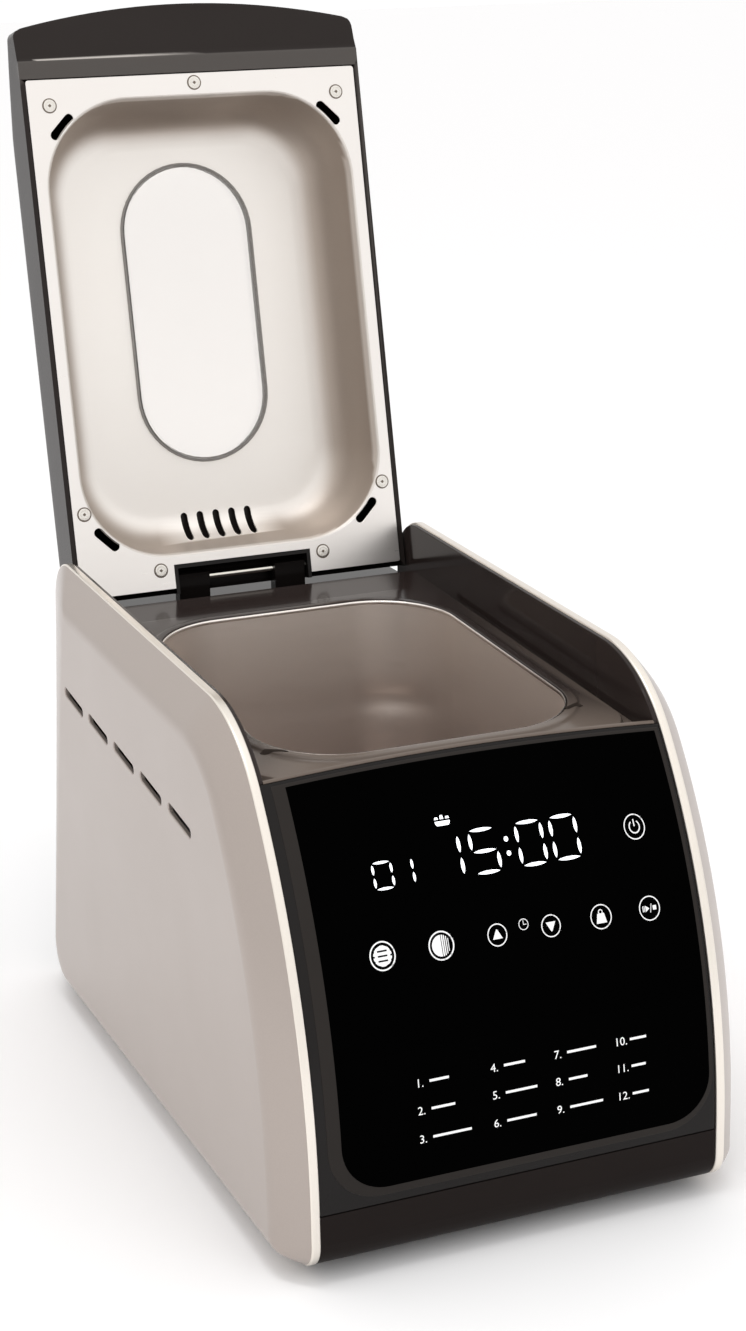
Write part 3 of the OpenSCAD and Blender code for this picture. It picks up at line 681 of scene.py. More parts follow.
class Finishes(Enum):
    """Every finish of the machine."""

    # champagne lacquer with fine metal flakes over steel: soft sheen, warm in light
    CHAMPAGNE = Finish(
        "champagne_lacquer", "#a99e97", "#afa49d", rough=0.34, metal=0.45, coat=0.3, coat_rough=0.12,
        pattern=Pattern.FLAKED, grain_mm=0.7, relief_mm=0.004,
    )
    # the same lacquer over a polished edge, in a lighter colour that paints in the bead's highlight
    BRIGHT_EDGE = Finish(
        "bright_champagne_edge", "#ebe4da", "#f0e9e0", rough=0.3, metal=0.95, coat=0.3, coat_rough=0.08,
        pattern=Pattern.FLAKED, grain_mm=0.7, relief_mm=0.002,
    )
    # polycarbonate blend, polished mould: brown-black gloss, with painted reflection that lightens it towards the
    # front
    DECK = Finish(
        "brown_gloss_plastic", "#2a2321", "#302826", rough=0.14, rough_spread=0.02, specular=0.15,
        painted_light_tone="#695e56",
        pattern=Pattern.MOULDED, grain_mm=3.0, relief_mm=0.01,
    )
    # the same plastic from a fine sparked mould: darker and duller
    BASE = Finish(
        "brown_satin_plastic", "#1d1817", "#221d1b", rough=0.38, specular=0.05,
        pattern=Pattern.MOULDED, grain_mm=0.5, relief_mm=0.015,
    )
    # lid cover, warm grey-black satin, with painted highlight on the band and step line before the steel plate
    LID_COVER = Finish(
        "warm_grey_plastic", "#26211f", "#2b2624", rough=0.22, specular=0.12,
        painted_light_tone="#d8d1ca",
        pattern=Pattern.MOULDED, grain_mm=0.8, relief_mm=0.008,
    )
    # bezel between glass and housing
    BEZEL = Finish(
        "satin_black_plastic", "#24201e", "#2a2623", rough=0.3, specular=0.13,
        pattern=Pattern.MOULDED, grain_mm=0.8, relief_mm=0.006,
    )
    HOUSING = Finish(
        "gloss_black_plastic", "#120f0e", "#171413", rough=0.2, specular=0.2,
        pattern=Pattern.MOULDED, grain_mm=1.0, relief_mm=0.006,
    )
    # float glass printed black on its back: deep black under a clear polished face
    PRINTED_GLASS = Finish(
        "black_printed_glass", "#010101", "#020202", rough=0.05, rough_spread=0.02, specular=0.004,
    )
    # stainless sheet, brushed along the cavity: warm grey with soft streaks, and painted shade that darkens it deeper
    # down
    LINER = Finish(
        "brushed_liner_steel", "#e6dcd4", "#eee5dd", rough=0.42, metal=0.9,
        pattern=Pattern.BRUSHED, grain_mm=0.8, stretch=(0.08, 0.08, 1.0), relief_mm=0.01,
        painted_light_tone="#cec2bb",
    )
    # stainless sheet of the lid, satin: near white where it faces the light; its painted-shade colour stays unused,
    # as its mask is all zero
    PLATE = Finish(
        "satin_lid_steel", "#efeae6", "#f4f0ec", rough=0.3, metal=1.0,
        pattern=Pattern.BRUSHED, grain_mm=0.6, stretch=(0.06, 1.0, 1.0), relief_mm=0.004,
        painted_light_tone="#6a5e53",
    )
    # the same sheet, duller, with painted shade that browns its wall, most at the top and on the right
    BOWL = Finish(
        "heat_dulled_steel", "#f1ece7", "#f5f1ec", rough=0.5, metal=1.0,
        pattern=Pattern.BRUSHED, grain_mm=0.6, stretch=(0.06, 1.0, 1.0), relief_mm=0.003,
        painted_light_tone="#aea298",
    )
    # polished rim steel, with painted shade that darkens the rim's front part
    POLISHED_RIM = Finish(
        "polished_rim_steel", "#f1ebe5", "#f7f2ed", rough=0.24, metal=1.0, painted_light_tone="#8f8883",
        pattern=Pattern.BRUSHED, grain_mm=0.5, stretch=(0.05, 1.0, 1.0), relief_mm=0.002,
    )
    # painted shade in the groove round a screw head and in its recess
    RECESS = Finish(
        "darkened_screw_recess", "#6f645a", "#7b7066", rough=0.5, metal=0.6,
        pattern=Pattern.MOULDED, grain_mm=0.3, relief_mm=0.005,
    )
    SCREW = Finish(
        "zinc_screw_steel", "#f0ece6", "#e4e0da", rough=0.28, metal=1.0,
        pattern=Pattern.BRUSHED, grain_mm=0.4, relief_mm=0.005, cloud_mm=4.0,
    )
    PIN = Finish(
        "polished_pin_steel", "#e8e4dc", "#dedad2", rough=0.16, metal=1.0,
        pattern=Pattern.BRUSHED, grain_mm=0.4, stretch=(0.05, 1.0, 1.0), relief_mm=0.003,
    )
    # clear toughened glass
    GLASS = Finish(
        "clear_window_glass", "#f6f4f2", rough=0.03, rough_spread=0.01, ior=1.45, transmission=1.0,
    )
    # silicone seal round the window
    SEAL = Finish(
        "grey_silicone", "#8f8b87", "#989490", rough=0.45, pattern=Pattern.MOULDED,
        grain_mm=1.2, relief_mm=0.01,
    )
    # white light through the printed glass
    LIT = Finish(
        "lit_display", "#f4f6f8", rough=0.5, glow="#f4f8ff", glow_strength=1.0,
    )
    # white print with a faint painted glow that brightens it beyond its lighting
    PRINT = Finish(
        "white_print", "#d9d9d9", "#e2e2e2", rough=0.5, glow="#d9d9d9", glow_strength=0.35,
    )
    RUBBER = Finish(
        "black_rubber", "#171616", "#1d1c1b", rough=0.7, specular=0.3, pattern=Pattern.MOULDED,
        grain_mm=0.6, relief_mm=0.02,
    )
    # bare galvanised or cast inner metal
    BARE_METAL = Finish(
        "galvanised_steel", "#a5a9ab", "#b6babc", rough=0.36, metal=1.0, cloud_mm=14.0,
        pattern=Pattern.BRUSHED, grain_mm=1.4, relief_mm=0.01,
    )
    DARK_METAL = Finish(
        "heat_darkened_steel", "#4b4642", "#5b534c", rough=0.45, metal=0.9, cloud_mm=20.0,
        pattern=Pattern.BRUSHED, grain_mm=0.8, relief_mm=0.01,
    )
    COPPER = Finish(
        "lacquered_copper", "#a9683a", "#b97545", rough=0.35, metal=0.9,
        pattern=Pattern.BRUSHED, grain_mm=0.5, stretch=(1.0, 1.0, 0.1), relief_mm=0.02,
    )
    CERAMIC = Finish(
        "unglazed_ceramic", "#ddd8cc", "#e6e2d8", rough=0.75, pattern=Pattern.MOULDED,
        grain_mm=0.7, relief_mm=0.02,
    )
    BOARD = Finish(
        "green_circuit_board", "#1f5c3b", "#246543", rough=0.4, coat=0.3, cloud_mm=9.0,
        pattern=Pattern.MOULDED, grain_mm=1.6, relief_mm=0.01,
    )
    NYLON = Finish(
        "black_nylon", "#1c1c1e", "#232326", rough=0.5, specular=0.4, pattern=Pattern.MOULDED,
        grain_mm=0.8, relief_mm=0.012,
    )


def dress(
    piece: Object, finish: Finishes, body: str | None = None, nodes: Sequence[str] = ()
) -> Object:
    """Gives a piece its finish, body and replaced nodes, and reports it."""
    settled(piece)
    piece.data.materials.clear()
    piece.data.materials.append(finish.value.build())
    if body:
        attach(piece, body)
    if nodes:
        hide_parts(*nodes)
    log.info("%s: %d faces, %s", piece.name, len(piece.data.polygons), finish.value.name)
    return piece


# ------------------------------------------------------------------ body shell


@dataclass
class SidePanels:
    """The two champagne side panels with bright edge, bevel, flat side and vents."""

    bevel_drop: float = 15.9
    rear_draw: float = 34.0
    wall: float = 2.2
    belly: float = 0.9
    crease: float = 4.0
    vent_count: int = 5
    vent_length: float = 31.0
    vent_width: float = 4.7
    vent_first: Point2 = (96.0, 183.2)
    vent_step: Point2 = (-40.4, -2.2)
    vent_tilt: float = math.radians(6.5)

    def skin_rings(self, side: int) -> list[list[Vector]]:
        """The rings of one panel from its inner face out to its flat side."""
        inner, strip, flat = BODY.half_gap, BODY.half_gap + BODY.strip_w, BODY.half_width
        steps: list[tuple[float, float, float, float]] = [
            (flat - self.wall, self.bevel_drop + self.wall, 9 + self.wall, self.rear_draw + self.wall),
            (strip, self.wall, self.wall, self.wall),
        ]
        falls = (self.bevel_drop, 9.0, self.rear_draw)

        def bevel(f: float) -> tuple[float, float, float, float]:
            """A place on the bevel, f from the bead (0) to the flat side (1)."""
            swell = self.belly * math.sin(math.pi * f)
            return (strip + (flat - strip) * f, *(0.7 + (fall - 0.7) * f - swell * 0.6 * (1 - 0.3 * f) for fall in falls))

        steps += [bevel(i / 8) for i in range(7)]
        start, corner = bevel(0.78), (flat, *falls)
        end = (flat, *(fall + self.crease for fall in falls))
        for i in range(9):
            t = i / 8
            steps.append(
                tuple(
                    a * (1 - t) ** 2 + 2 * b * t * (1 - t) + c * t * t
                    for a, b, c in zip(start, corner, end)
                )
            )
        return [
            [world(side * x, y, z) for y, z in BODY.profile(o, ob, orr)] for x, o, ob, orr in steps
        ]

    def bead_rings(self, side: int) -> list[list[Vector]]:
        """The rings of the rounded bright edge along the front and top."""
        inner, strip, wall = BODY.half_gap, BODY.half_gap + BODY.strip_w, self.wall
        line = [(strip, wall), (inner + 0.02, wall), (inner, 1.1), (inner + 0.12, 0.55), (inner + 0.45, 0.16), (inner + 1.0, 0.0)]
        line += [(strip - 1.1, 0.0), (strip - 0.5, 0.12), (strip - 0.15, 0.4), (strip, 0.8)]
        return [[world(side * x, y, z) for y, z in BODY.profile(o, o, o)] for x, o in line]

    def vent_cutters(self, side: int) -> list[Object]:
        """The chamfered slot shapes that are cut out of one panel."""
        shapes = []
        for i in range(self.vent_count):
            cy = self.vent_first[0] + self.vent_step[0] * i
            cz = self.vent_first[1] + self.vent_step[1] * i
            rings = []
            for x, grow in ((8.0, 0.0), (-0.5, 0.0), (-0.05, 0.3), (2.0, 0.5)):
                out = BODY.half_width - x if x > 2.5 else BODY.half_width + x
                loop = stadium(self.vent_width + 2 * grow, self.vent_length + 2 * grow)
                loop = turned(loop, self.vent_tilt - math.pi / 2, cy, cz)
                rings.append([world(side * out, y, z) for y, z in loop])
            shapes.append(loft(f"vent_cutter_{i}", rings))
        return shapes

    def build(self) -> None:
        """Makes and dresses both panels."""
        for side, label in ((-1, "left"), (1, "right")):
            bead = loft(f"{label}_panel_edge", self.bead_rings(side), last=Cap.JOIN, sharp=50)
            dress(bead, Finishes.BRIGHT_EDGE, "body", (f"{label}_side_panel",))
            panel = loft(f"{label}_panel_skin", self.skin_rings(side), sharp=28)
            cut(panel, self.vent_cutters(side), sharp=28)
            dress(panel, Finishes.CHAMPAGNE, "body", (f"{label}_side_panel",))


@dataclass
class Deck:
    """The dark deck round the mouth with its two low steps, side walls, nose and shelf."""

    mouth_w: float = 152.0
    mouth_l: float = 194.0
    mouth_r: float = 40.0
    mouth_y: float = -3.0
    outer_x: float = 93.0
    outer_y0: float = -112.0
    outer_y1: float = 143.0
    wall_t: float = 1.8

    def collar(self) -> Object:
        """The deck as one skin from its outer edge over both steps to the mouth."""
        w, l, r = self.mouth_w, self.mouth_l, self.mouth_r
        span = self.outer_y1 - self.outer_y0
        middle = (self.outer_y0 + self.outer_y1) / 2
        steps = [
            (2 * self.outer_x, span, 1.0, -3.0, middle),
            (2 * self.outer_x, span, 1.0, 0.0, middle),
            (184.6, 229.0, 25.8, 0.0, self.mouth_y),
            (182.6, 227.4, 24.8, 0.35, self.mouth_y),
            (181.2, 226.2, 24.1, 1.6, self.mouth_y),
            (180.2, 225.2, 23.6, 2.25, self.mouth_y),
            (178.4, 223.4, 22.8, 2.4, self.mouth_y),
            (w + 15.0, l + 15.0, r + 7.5, 2.6, self.mouth_y),
            (w + 13.0, l + 13.0, r + 6.5, 2.9, self.mouth_y),
            (w + 12.0, l + 12.0, r + 6.0, 3.6, self.mouth_y),
            (w + 11.0, l + 11.0, r + 5.5, 4.1, self.mouth_y),
            (w + 9.0, l + 9.0, r + 4.5, 4.22, self.mouth_y),
            (w + 3.4, l + 3.4, r + 1.7, 4.22, self.mouth_y),
            (w + 2.3, l + 2.3, r + 1.15, 4.05, self.mouth_y),
            (w + 1.9, l + 1.9, r + 0.95, 3.6, self.mouth_y),
            (w + 1.8, l + 1.8, r + 0.9, -18.0, self.mouth_y),
            (w + 5.0, l + 5.0, r + 2.5, -18.0, self.mouth_y),
            (w + 5.2, l + 5.2, r + 2.6, -3.0, self.mouth_y),
        ]
        rings = [
            [BODY.on_deck(x, y, h) for x, y in rounded(a, b, c, 14, cy)] for a, b, c, h, cy in steps
        ]
        piece = loft("deck_collar", rings, last=Cap.JOIN, sharp=50)
        return cut(piece, self.slot_cutters(), sharp=40)

    def slot_cutters(self) -> list[Object]:
        """The two slanted slots ahead of the mouth."""
        shapes = []
        for side in (-1, 1):
            loop = turned(stadium(2.8, 13.0), math.radians(side * 27 - 90), side * 73, -84)
            rings = [[BODY.on_deck(x, y, h) for x, y in loop] for h in (-8.0, 12.0)]
            shapes.append(loft("deck_slot_cutter", rings))
        return shapes

    def side_wall(self, side: int) -> Object:
        """The dark inner wall along one side panel, from deck to top edge."""
        outline = [p for p in BODY.profile(0.9, 1, 1) if p[1] > BODY.seam_z + 0.6]
        rings = []
        for y, z in outline:
            low = min(z - 0.5, BODY.deck_z - 11 + BODY.deck_slope * y)
            ring = [(0.0, low), (0.0, z - 0.6), (0.35, z - 0.12), (self.wall_t * 0.6, z), (self.wall_t, z), (self.wall_t, low)]
            rings.append([world(side * (self.outer_x + dx), y, h) for dx, h in ring])
        return loft(f"deck_wall_{side}", rings, sharp=40)

    def nose(self) -> Object:
        """The sloping strip between the deck and the seam over the control front."""
        columns = []
        count = 40
        half = self.outer_x
        for i in range(count + 1):
            x = -half + 2 * half * i / count
            bow = BODY.seam_bow * (1 - (x / BODY.half_gap) ** 2)
            seam = BODY.seam_z + bow
            y_front = BODY.front_depth(seam, 1.2)
            back = (self.outer_y0 + 2, BODY.deck_z + BODY.deck_slope * (self.outer_y0 + 2))
            line = [
                (back[0], back[1] - 3.0),
                back,
                (back[0] * 0.55 + y_front * 0.45, back[1] * 0.55 + (seam + 1.3) * 0.45 + 0.15),
                (y_front + 1.6, seam + 1.25),
                (y_front + 0.5, seam + 1.0),
                (y_front + 0.1, seam + 0.35),
                (y_front + 0.5, seam - 0.3),
                (y_front + 5.0, seam - 5.0),
            ]
            columns.append([world(x, y, z) for y, z in line])
        return loft("deck_nose", columns, sharp=40)

    def shelf(self) -> Object:
        """The raised shelf under the hinge, behind the mouth."""
        y0, y1, z0 = 140.0, 178.0, 207.0
        line = [(y0, z0), (y0, 214.6), (y0 + 0.5, 215.2), (y0 + 2.4, 215.3), (y0 + 3.0, 214.8), (y0 + 3.2, 210.2),
                (y0 + 4.0, 209.9), (y1 - 0.6, 209.9), (y1, 209.4), (y1, z0)]
        rings = [[world(x, y, z) for y, z in line] for x in (-self.outer_x, self.outer_x)]
        return loft("deck_shelf", rings, sharp=40)

    def build(self) -> None:
        """Makes and dresses the deck's pieces."""
        made = [self.collar(), self.nose(), self.shelf()]
        made += [self.side_wall(side) for side in (-1, 1)]
        # painted reflection of the lid's bright plate: collar and nose above the seam grow lighter towards the front,
        # from 58 mm ahead of the middle over 42 mm
        for piece in made[:2]:
            far = [(-58.0 * MM - (v.co.y - world(0, 0, 0).y)) / (42 * MM) for v in piece.data.vertices]
            above = [v.co.z > (BODY.seam_z + 0.2) * MM or piece.name == "deck_collar" for v in piece.data.vertices]
            soft = [max(0.0, min(1.0, f)) if over else 0.0 for f, over in zip(far, above)]
            piece.data.attributes.new("toned", "FLOAT", "POINT").data.foreach_set("value", soft)
        for piece in made:
            piece.name = piece.name.replace("-1", "left").replace("_1", "_right")
            dress(piece, Finishes.DECK, "body", ("deck_frame",))


@dataclass
class ControlFront:
    """The curved front: housing, bezel, printed glass and its lit marks."""

    left: float = -84.0
    right: float = 91.8
    low: float = 40.4
    corner: float = 20.8

    def outline(self, x0: float, x1: float, z0: float, z1: float, bow: float, r: float) -> list[Point2]:
        """A front region: round lower corners, straight sides and a bowed top edge."""
        half = BODY.half_gap
        big = (half * half + bow * bow) / (2 * bow)
        low_steps, side_steps, top_steps, corner_steps = 20, 44, 40, 14

        def top(x: float) -> float:
            """The height of the bowed top edge at x."""
            return z1 + bow - big + math.sqrt(big * big - x * x)

        points = [(x0 + r + (x1 - x0 - 2 * r) * i / low_steps, z0) for i in range(low_steps)]
        points += arc(x1 - r, z0 + r, r, 1.5 * math.pi, 2 * math.pi, corner_steps)
        points += [(x1, z0 + r + (top(x1) - z0 - r) * i / side_steps) for i in range(1, side_steps)]
        points += [
            (x1 + (x0 - x1) * i / top_steps, top(x1 + (x0 - x1) * i / top_steps))
            for i in range(top_steps + 1)
        ]
        points += [(x0, top(x0) + (z0 + r - top(x0)) * i / side_steps) for i in range(1, side_steps)]
        points += arc(x0 + r, z0 + r, r, math.pi, 1.5 * math.pi, corner_steps)[:-1]
        return points

    def slab(self, name: str, area: tuple[float, ...], front: float, back: float, edge: float) -> Object:
        """A curved pane with a rounded rim.

        Args:
            name: the piece's name.
            area: x0, x1, z0, z1, bow and corner radius.
            front: how far its face lies behind the body's outline.
            back: how far its back lies behind it.
            edge: the rim's rounding.

        Returns:
            The new piece.
        """
        x0, x1, z0, z1, bow, r = area

        def ring(draw: float, inset: float, share: float = 1.0) -> list[Vector]:
            """One ring of the pane, drawn in and shrunk towards its middle."""
            loop = self.outline(x0 + draw, x1 - draw, z0 + draw, z1 - draw, bow, max(0.3, r - draw))
            mx, mz = (x0 + x1) / 2, (z0 + z1) / 2
            return [
                BODY.on_front(mx + (x - mx) * share, mz + (z - mz) * share, inset) for x, z in loop
            ]

        rings = [ring(edge, back, s / 24) for s in range(1, 25)]
        rings += [ring(0, back), ring(0, front + edge), ring(edge * 0.3, front + edge * 0.3)]
        rings += [ring(edge, front, s / 24) for s in range(24, 0, -1)]
        return loft(name, rings, sharp=40)

    def build(self) -> None:
        """Makes and dresses the front's panes and marks."""
        seam, bow = BODY.seam_z, BODY.seam_bow
        gap = BODY.half_gap - 0.2
        housing = self.slab("front_housing_skin", (-gap, gap, BODY.base_seam_z + 0.3, seam, bow, 0.8), 1.2, 4.2, 0.5)
        dress(housing, Finishes.HOUSING, "body", ("front_housing",))
        bezel = self.slab("bezel_skin", (-90.3, 93.7, 36.7, seam - 1.2, bow, 23.7), 0.95, 2.9, 0.35)
        dress(bezel, Finishes.BEZEL, "body", ("panel_bezel",))
        glass = self.slab(
            "control_glass_pane", (self.left, self.right, self.low, seam - 2.4, bow, self.corner), 0.6, 1.9, 0.35
        )
        dress(glass, Finishes.PRINTED_GLASS, "body", ("control_glass",))
        Marks().build()


@dataclass
class Marks:
    """The lit digits, touch keys and programme numbers on the control glass."""

    lift: float = 0.52
    thick: float = 0.05
    digit_h: float = 16.4
    digit_w: float = 11.8
    digit_z: float = 161.9
    digit_x: tuple[float, ...] = (-25.2, -7.9, 14.1, 30.5)
    small_h: float = 9.9
    small_w: float = 8.4
    small_z: float = 162.5
    small_x: tuple[float, ...] = (-54.2, -44.6)

    def flat(self, name: str, loops: Sequence[Sequence[Point2]]) -> Object:
        """Thin closed shapes on the glass from outlines in (x, z)."""
        bm = bmesh.new()
        for loop in loops:
            front = [bm.verts.new(BODY.on_front(x, z, self.lift)) for x, z in loop]
            back = [bm.verts.new(BODY.on_front(x, z, self.lift + self.thick)) for x, z in loop]
            bm.faces.new(front)
            bm.faces.new(back[::-1])
            for i in range(len(loop)):
                j = (i + 1) % len(loop)
                bm.faces.new((front[i], back[i], back[j], front[j]))
        return finished(name, bm, 30)

    def ring_band(self, cx: float, cz: float, r: float, width: float) -> list[list[Point2]]:
        """A circle line as short pieces of band that meet end to end."""
        count = 48
        outer = arc(cx, cz, r, 0, 2 * math.pi, count)
        inner = arc(cx, cz, r - width, 0, 2 * math.pi, count)
        return [[outer[i], outer[i + 1], inner[i + 1], inner[i]] for i in range(count)]

    def segment(self) -> Object:
        """One lens-shaped lit segment, 1 mm long and 1 mm wide, in the xz plane."""
        bm = bmesh.new()
        shape = [(-0.5, 0.0), (-0.36, 0.27), (-0.15, 0.45), (0.15, 0.45), (0.36, 0.27), (0.5, 0.0)]
        loop = shape + [(x, -z) for x, z in shape[-2:0:-1]]
        front = [bm.verts.new((x * MM, 0.0, z * MM)) for x, z in loop]
        back = [bm.verts.new((x * MM, self.thick * MM, z * MM)) for x, z in loop]
        bm.faces.new(front)
        bm.faces.new(back[::-1])
        for i in range(len(loop)):
            j = (i + 1) % len(loop)
            bm.faces.new((front[i], back[i], back[j], front[j]))
        return finished("segment_unit", bm, 30)

    def digit_spots(self, digit: str, x: float, z: float, w: float, h: float, thick: float) -> list[Spot]:
        """The places of one digit's lit segments."""
        lit = {
            "0": "abcdef", "1": "bc", "2": "abged", "3": "abgcd", "4": "fgbc", "5": "afgcd",
            "6": "afgedc", "7": "abc", "8": "abcdefg", "9": "abcdfg",
        }[digit]
        mid_x, mid_z = x + w / 2, z + h / 2
        flat_l, tall_l = w * 0.9, h / 2 * 0.86
        centres = {
            "a": (mid_x, z + h, 0), "g": (mid_x, mid_z, 0), "d": (mid_x, z, 0),
            "f": (x, z + h * 0.75, 1), "b": (x + w, z + h * 0.75, 1),
            "e": (x, z + h * 0.25, 1), "c": (x + w, z + h * 0.25, 1),
        }
        spots = []
        for key in lit:
            cx, cz, upright = centres[key]
            lean = Matrix.Rotation(-BODY.front_tilt(cz), 3, "X")
            turn = (lean @ Matrix.Rotation(math.pi / 2 * upright, 3, "Y")).to_euler()
            spots.append(
                Spot(
                    BODY.on_front(cx, cz, self.lift),
                    tuple(turn),
                    (tall_l if upright else flat_l, 1.0, thick),
                )
            )
        return spots

    def digits(self) -> Object:
        """The clock and programme digits with the colon."""
        spots: list[Spot] = []
        for value, x in zip("1500", self.digit_x):
            spots += self.digit_spots(value, x, self.digit_z, self.digit_w, self.digit_h, 1.75)
        for value, x in zip("01", self.small_x):
            spots += self.digit_spots(value, x, self.small_z, self.small_w, self.small_h, 1.25)
        return repeated("display_digits", self.segment(), spots, Finishes.LIT.value.build())

    def keys(self) -> list[list[Point2]]:
        """The outlines of the round touch keys and the signs in them."""
        loops: list[list[Point2]] = []
        rings = ((-56.6, 137.2, 5.9, 0.6), (-29.6, 137.0, 5.9, 0.6), (-3.4, 137.1, 4.6, 0.45),
                 (22.1, 136.8, 4.6, 0.45), (46.3, 136.7, 5.1, 0.45), (70.1, 136.5, 5.1, 0.45),
                 (70.2, 169.5, 5.1, 0.45), (9.4, 139.4, 2.3, 0.3))
        for cx, cz, r, width in rings:
            loops += self.ring_band(cx, cz, r, width)
        loops += self.menu_sign(-56.6, 137.2) + self.crust_sign(-29.6, 137.0)
        for cx, cz, up in ((-3.4, 137.1, 1), (22.1, 136.8, -1)):
            loops.append([(cx - 2.3, cz - 1.6 * up), (cx + 2.3, cz - 1.6 * up), (cx + 0.25, cz + 2.2 * up), (cx - 0.25, cz + 2.2 * up)][:: up])
        loops += [[(9.25, 139.2), (9.5, 139.2), (9.5, 141.0), (9.25, 141.0)], [(9.3, 139.2), (10.8, 139.2), (10.8, 139.45), (9.3, 139.45)]]
        loops += self.weight_sign(46.3, 136.7) + self.play_sign(70.1, 136.5) + self.power_sign(70.2, 169.5)
        return loops

    def menu_sign(self, cx: float, cz: float) -> list[list[Point2]]:
        """A disc with three lines left dark, drawn as the bands between them."""
        r = 4.2
        loops = []
        for z0, z1 in ((-4.15, -2.3), (-1.6, -0.35), (0.35, 1.6), (2.3, 4.15)):
            side = [(math.sqrt(max(0.01, r * r - z * z)), z) for z in (z0, (z0 + z1) / 2, z1)]
            loops.append([(cx + x, cz + z) for x, z in side] + [(cx - x, cz + z) for x, z in side[::-1]])
        for z0 in (-2.3, -0.35, 1.6):
            x_in, x_out = 2.2, math.sqrt(r * r - 2.3**2)
            for s in (-1, 1):
                band = [(cx + s * x_in, cz + z0), (cx + s * x_out, cz + z0), (cx + s * x_out, cz + z0 + 0.7), (cx + s * x_in, cz + z0 + 0.7)]
                loops.append(band[::s])
        return loops

    def crust_sign(self, cx: float, cz: float) -> list[list[Point2]]:
        """A half disc and four thinning bars that stand for crust shades."""
        r = 4.3
        loops = [[(cx + x, cz + z) for x, z in arc(0, 0, r, math.pi / 2, 1.5 * math.pi, 20)]]
        for i, x in enumerate((0.35, 1.3, 2.25, 3.15)):
            h = math.sqrt(r * r - (x + 0.3) ** 2)
            w = 0.62 - 0.1 * i
            loops.append([(cx + x, cz - h), (cx + x + w, cz - h), (cx + x + w, cz + h), (cx + x, cz + h)])
        return loops

    def weight_sign(self, cx: float, cz: float) -> list[list[Point2]]:
        """A small weight with its ring."""
        loops = [[(cx - 2.5, cz - 2.6), (cx + 2.5, cz - 2.6), (cx + 1.6, cz + 1.4), (cx - 1.6, cz + 1.4)]]
        return loops + self.ring_band(cx, cz + 2.0, 1.1, 0.4)

    def play_sign(self, cx: float, cz: float) -> list[list[Point2]]:
        """Bars, a triangle, a stroke and a square."""
        return [
            [(cx - 3.4, cz - 1.2), (cx - 3.05, cz - 1.2), (cx - 3.05, cz + 1.2), (cx - 3.4, cz + 1.2)],
            [(cx - 2.7, cz - 1.2), (cx - 2.35, cz - 1.2), (cx - 2.35, cz + 1.2), (cx - 2.7, cz + 1.2)],
            [(cx - 2.0, cz - 1.3), (cx - 0.1, cz), (cx - 2.0, cz + 1.3)],
            [(cx + 0.1, cz - 1.8), (cx + 0.4, cz - 1.8), (cx + 1.2, cz + 1.8), (cx + 0.9, cz + 1.8)],
            [(cx + 1.6, cz - 0.9), (cx + 3.3, cz - 0.9), (cx + 3.3, cz + 0.9), (cx + 1.6, cz + 0.9)],
        ]

    def power_sign(self, cx: float, cz: float) -> list[list[Point2]]:
        """An open circle with a stroke."""
        count = 30
        outer = arc(cx, cz, 2.7, math.radians(125), math.radians(415), count)
        inner = arc(cx, cz, 2.2, math.radians(125), math.radians(415), count)
        loops = [[outer[i], outer[i + 1], inner[i + 1], inner[i]] for i in range(count)]
        return loops + [[(cx - 0.25, cz + 0.2), (cx + 0.25, cz + 0.2), (cx + 0.25, cz + 3.0), (cx - 0.25, cz + 3.0)]]

    def loaf_sign(self) -> list[list[Point2]]:
        """A small loaf with three cuts."""
        cx, cz = -18.5, 183.9
        base = [(-3.5, -0.1), (-3.3, -1.1), (-2.6, -1.8), (2.6, -1.8), (3.3, -1.1), (3.5, -0.1)]
        loops = [[(cx + x, cz + z) for x, z in base]]
        for x0, x1, high in ((-3.5, -1.65, 1.5), (-0.85, 0.85, 2.1), (1.65, 3.5, 1.5)):
            loops.append([(cx + x0, cz + 0.65), (cx + x1, cz + 0.65), (cx + x1 - 0.3, cz + high), (cx + x0 + 0.3, cz + high)])
        return loops

    def colon(self) -> list[list[Point2]]:
        """The two round dots of the clock."""
        return [arc(8.8, z, 1.0, 0, 2 * math.pi, 20)[:-1] for z in (173.2, 167.7)]

    def programme_numbers(self) -> Object:
        """Plain numbers 1 to 12 in four columns, as text turned into mesh on the glass."""
        parts = []
        rows, columns = (83.4, 71.4, 58.8), (-46.8, -12.0, 18.2, 47.6)
        for i in range(12):
            x, z = columns[i // 3], rows[i % 3]
            curve = bpy.data.curves.new("number", "FONT")
            curve.body = f"{i + 1}."
            curve.size = 5.2 * MM
            curve.resolution_u = 3
            label = bpy.data.objects.new("number", curve)
            bpy.context.scene.collection.objects.link(label)
            bpy.context.view_layer.update()
            mesh = bpy.data.meshes.new_from_object(label.evaluated_get(bpy.context.evaluated_depsgraph_get()))
            bpy.data.objects.remove(label)
            for v in mesh.vertices:
                v.co = BODY.on_front(x - 2.0 + v.co.x / MM, z - 2.0 + v.co.y / MM, self.lift)
            part = bpy.data.objects.new("number", mesh)
            bpy.context.scene.collection.objects.link(part)
            parts.append(part)
        return joined("programme_numbers", parts)

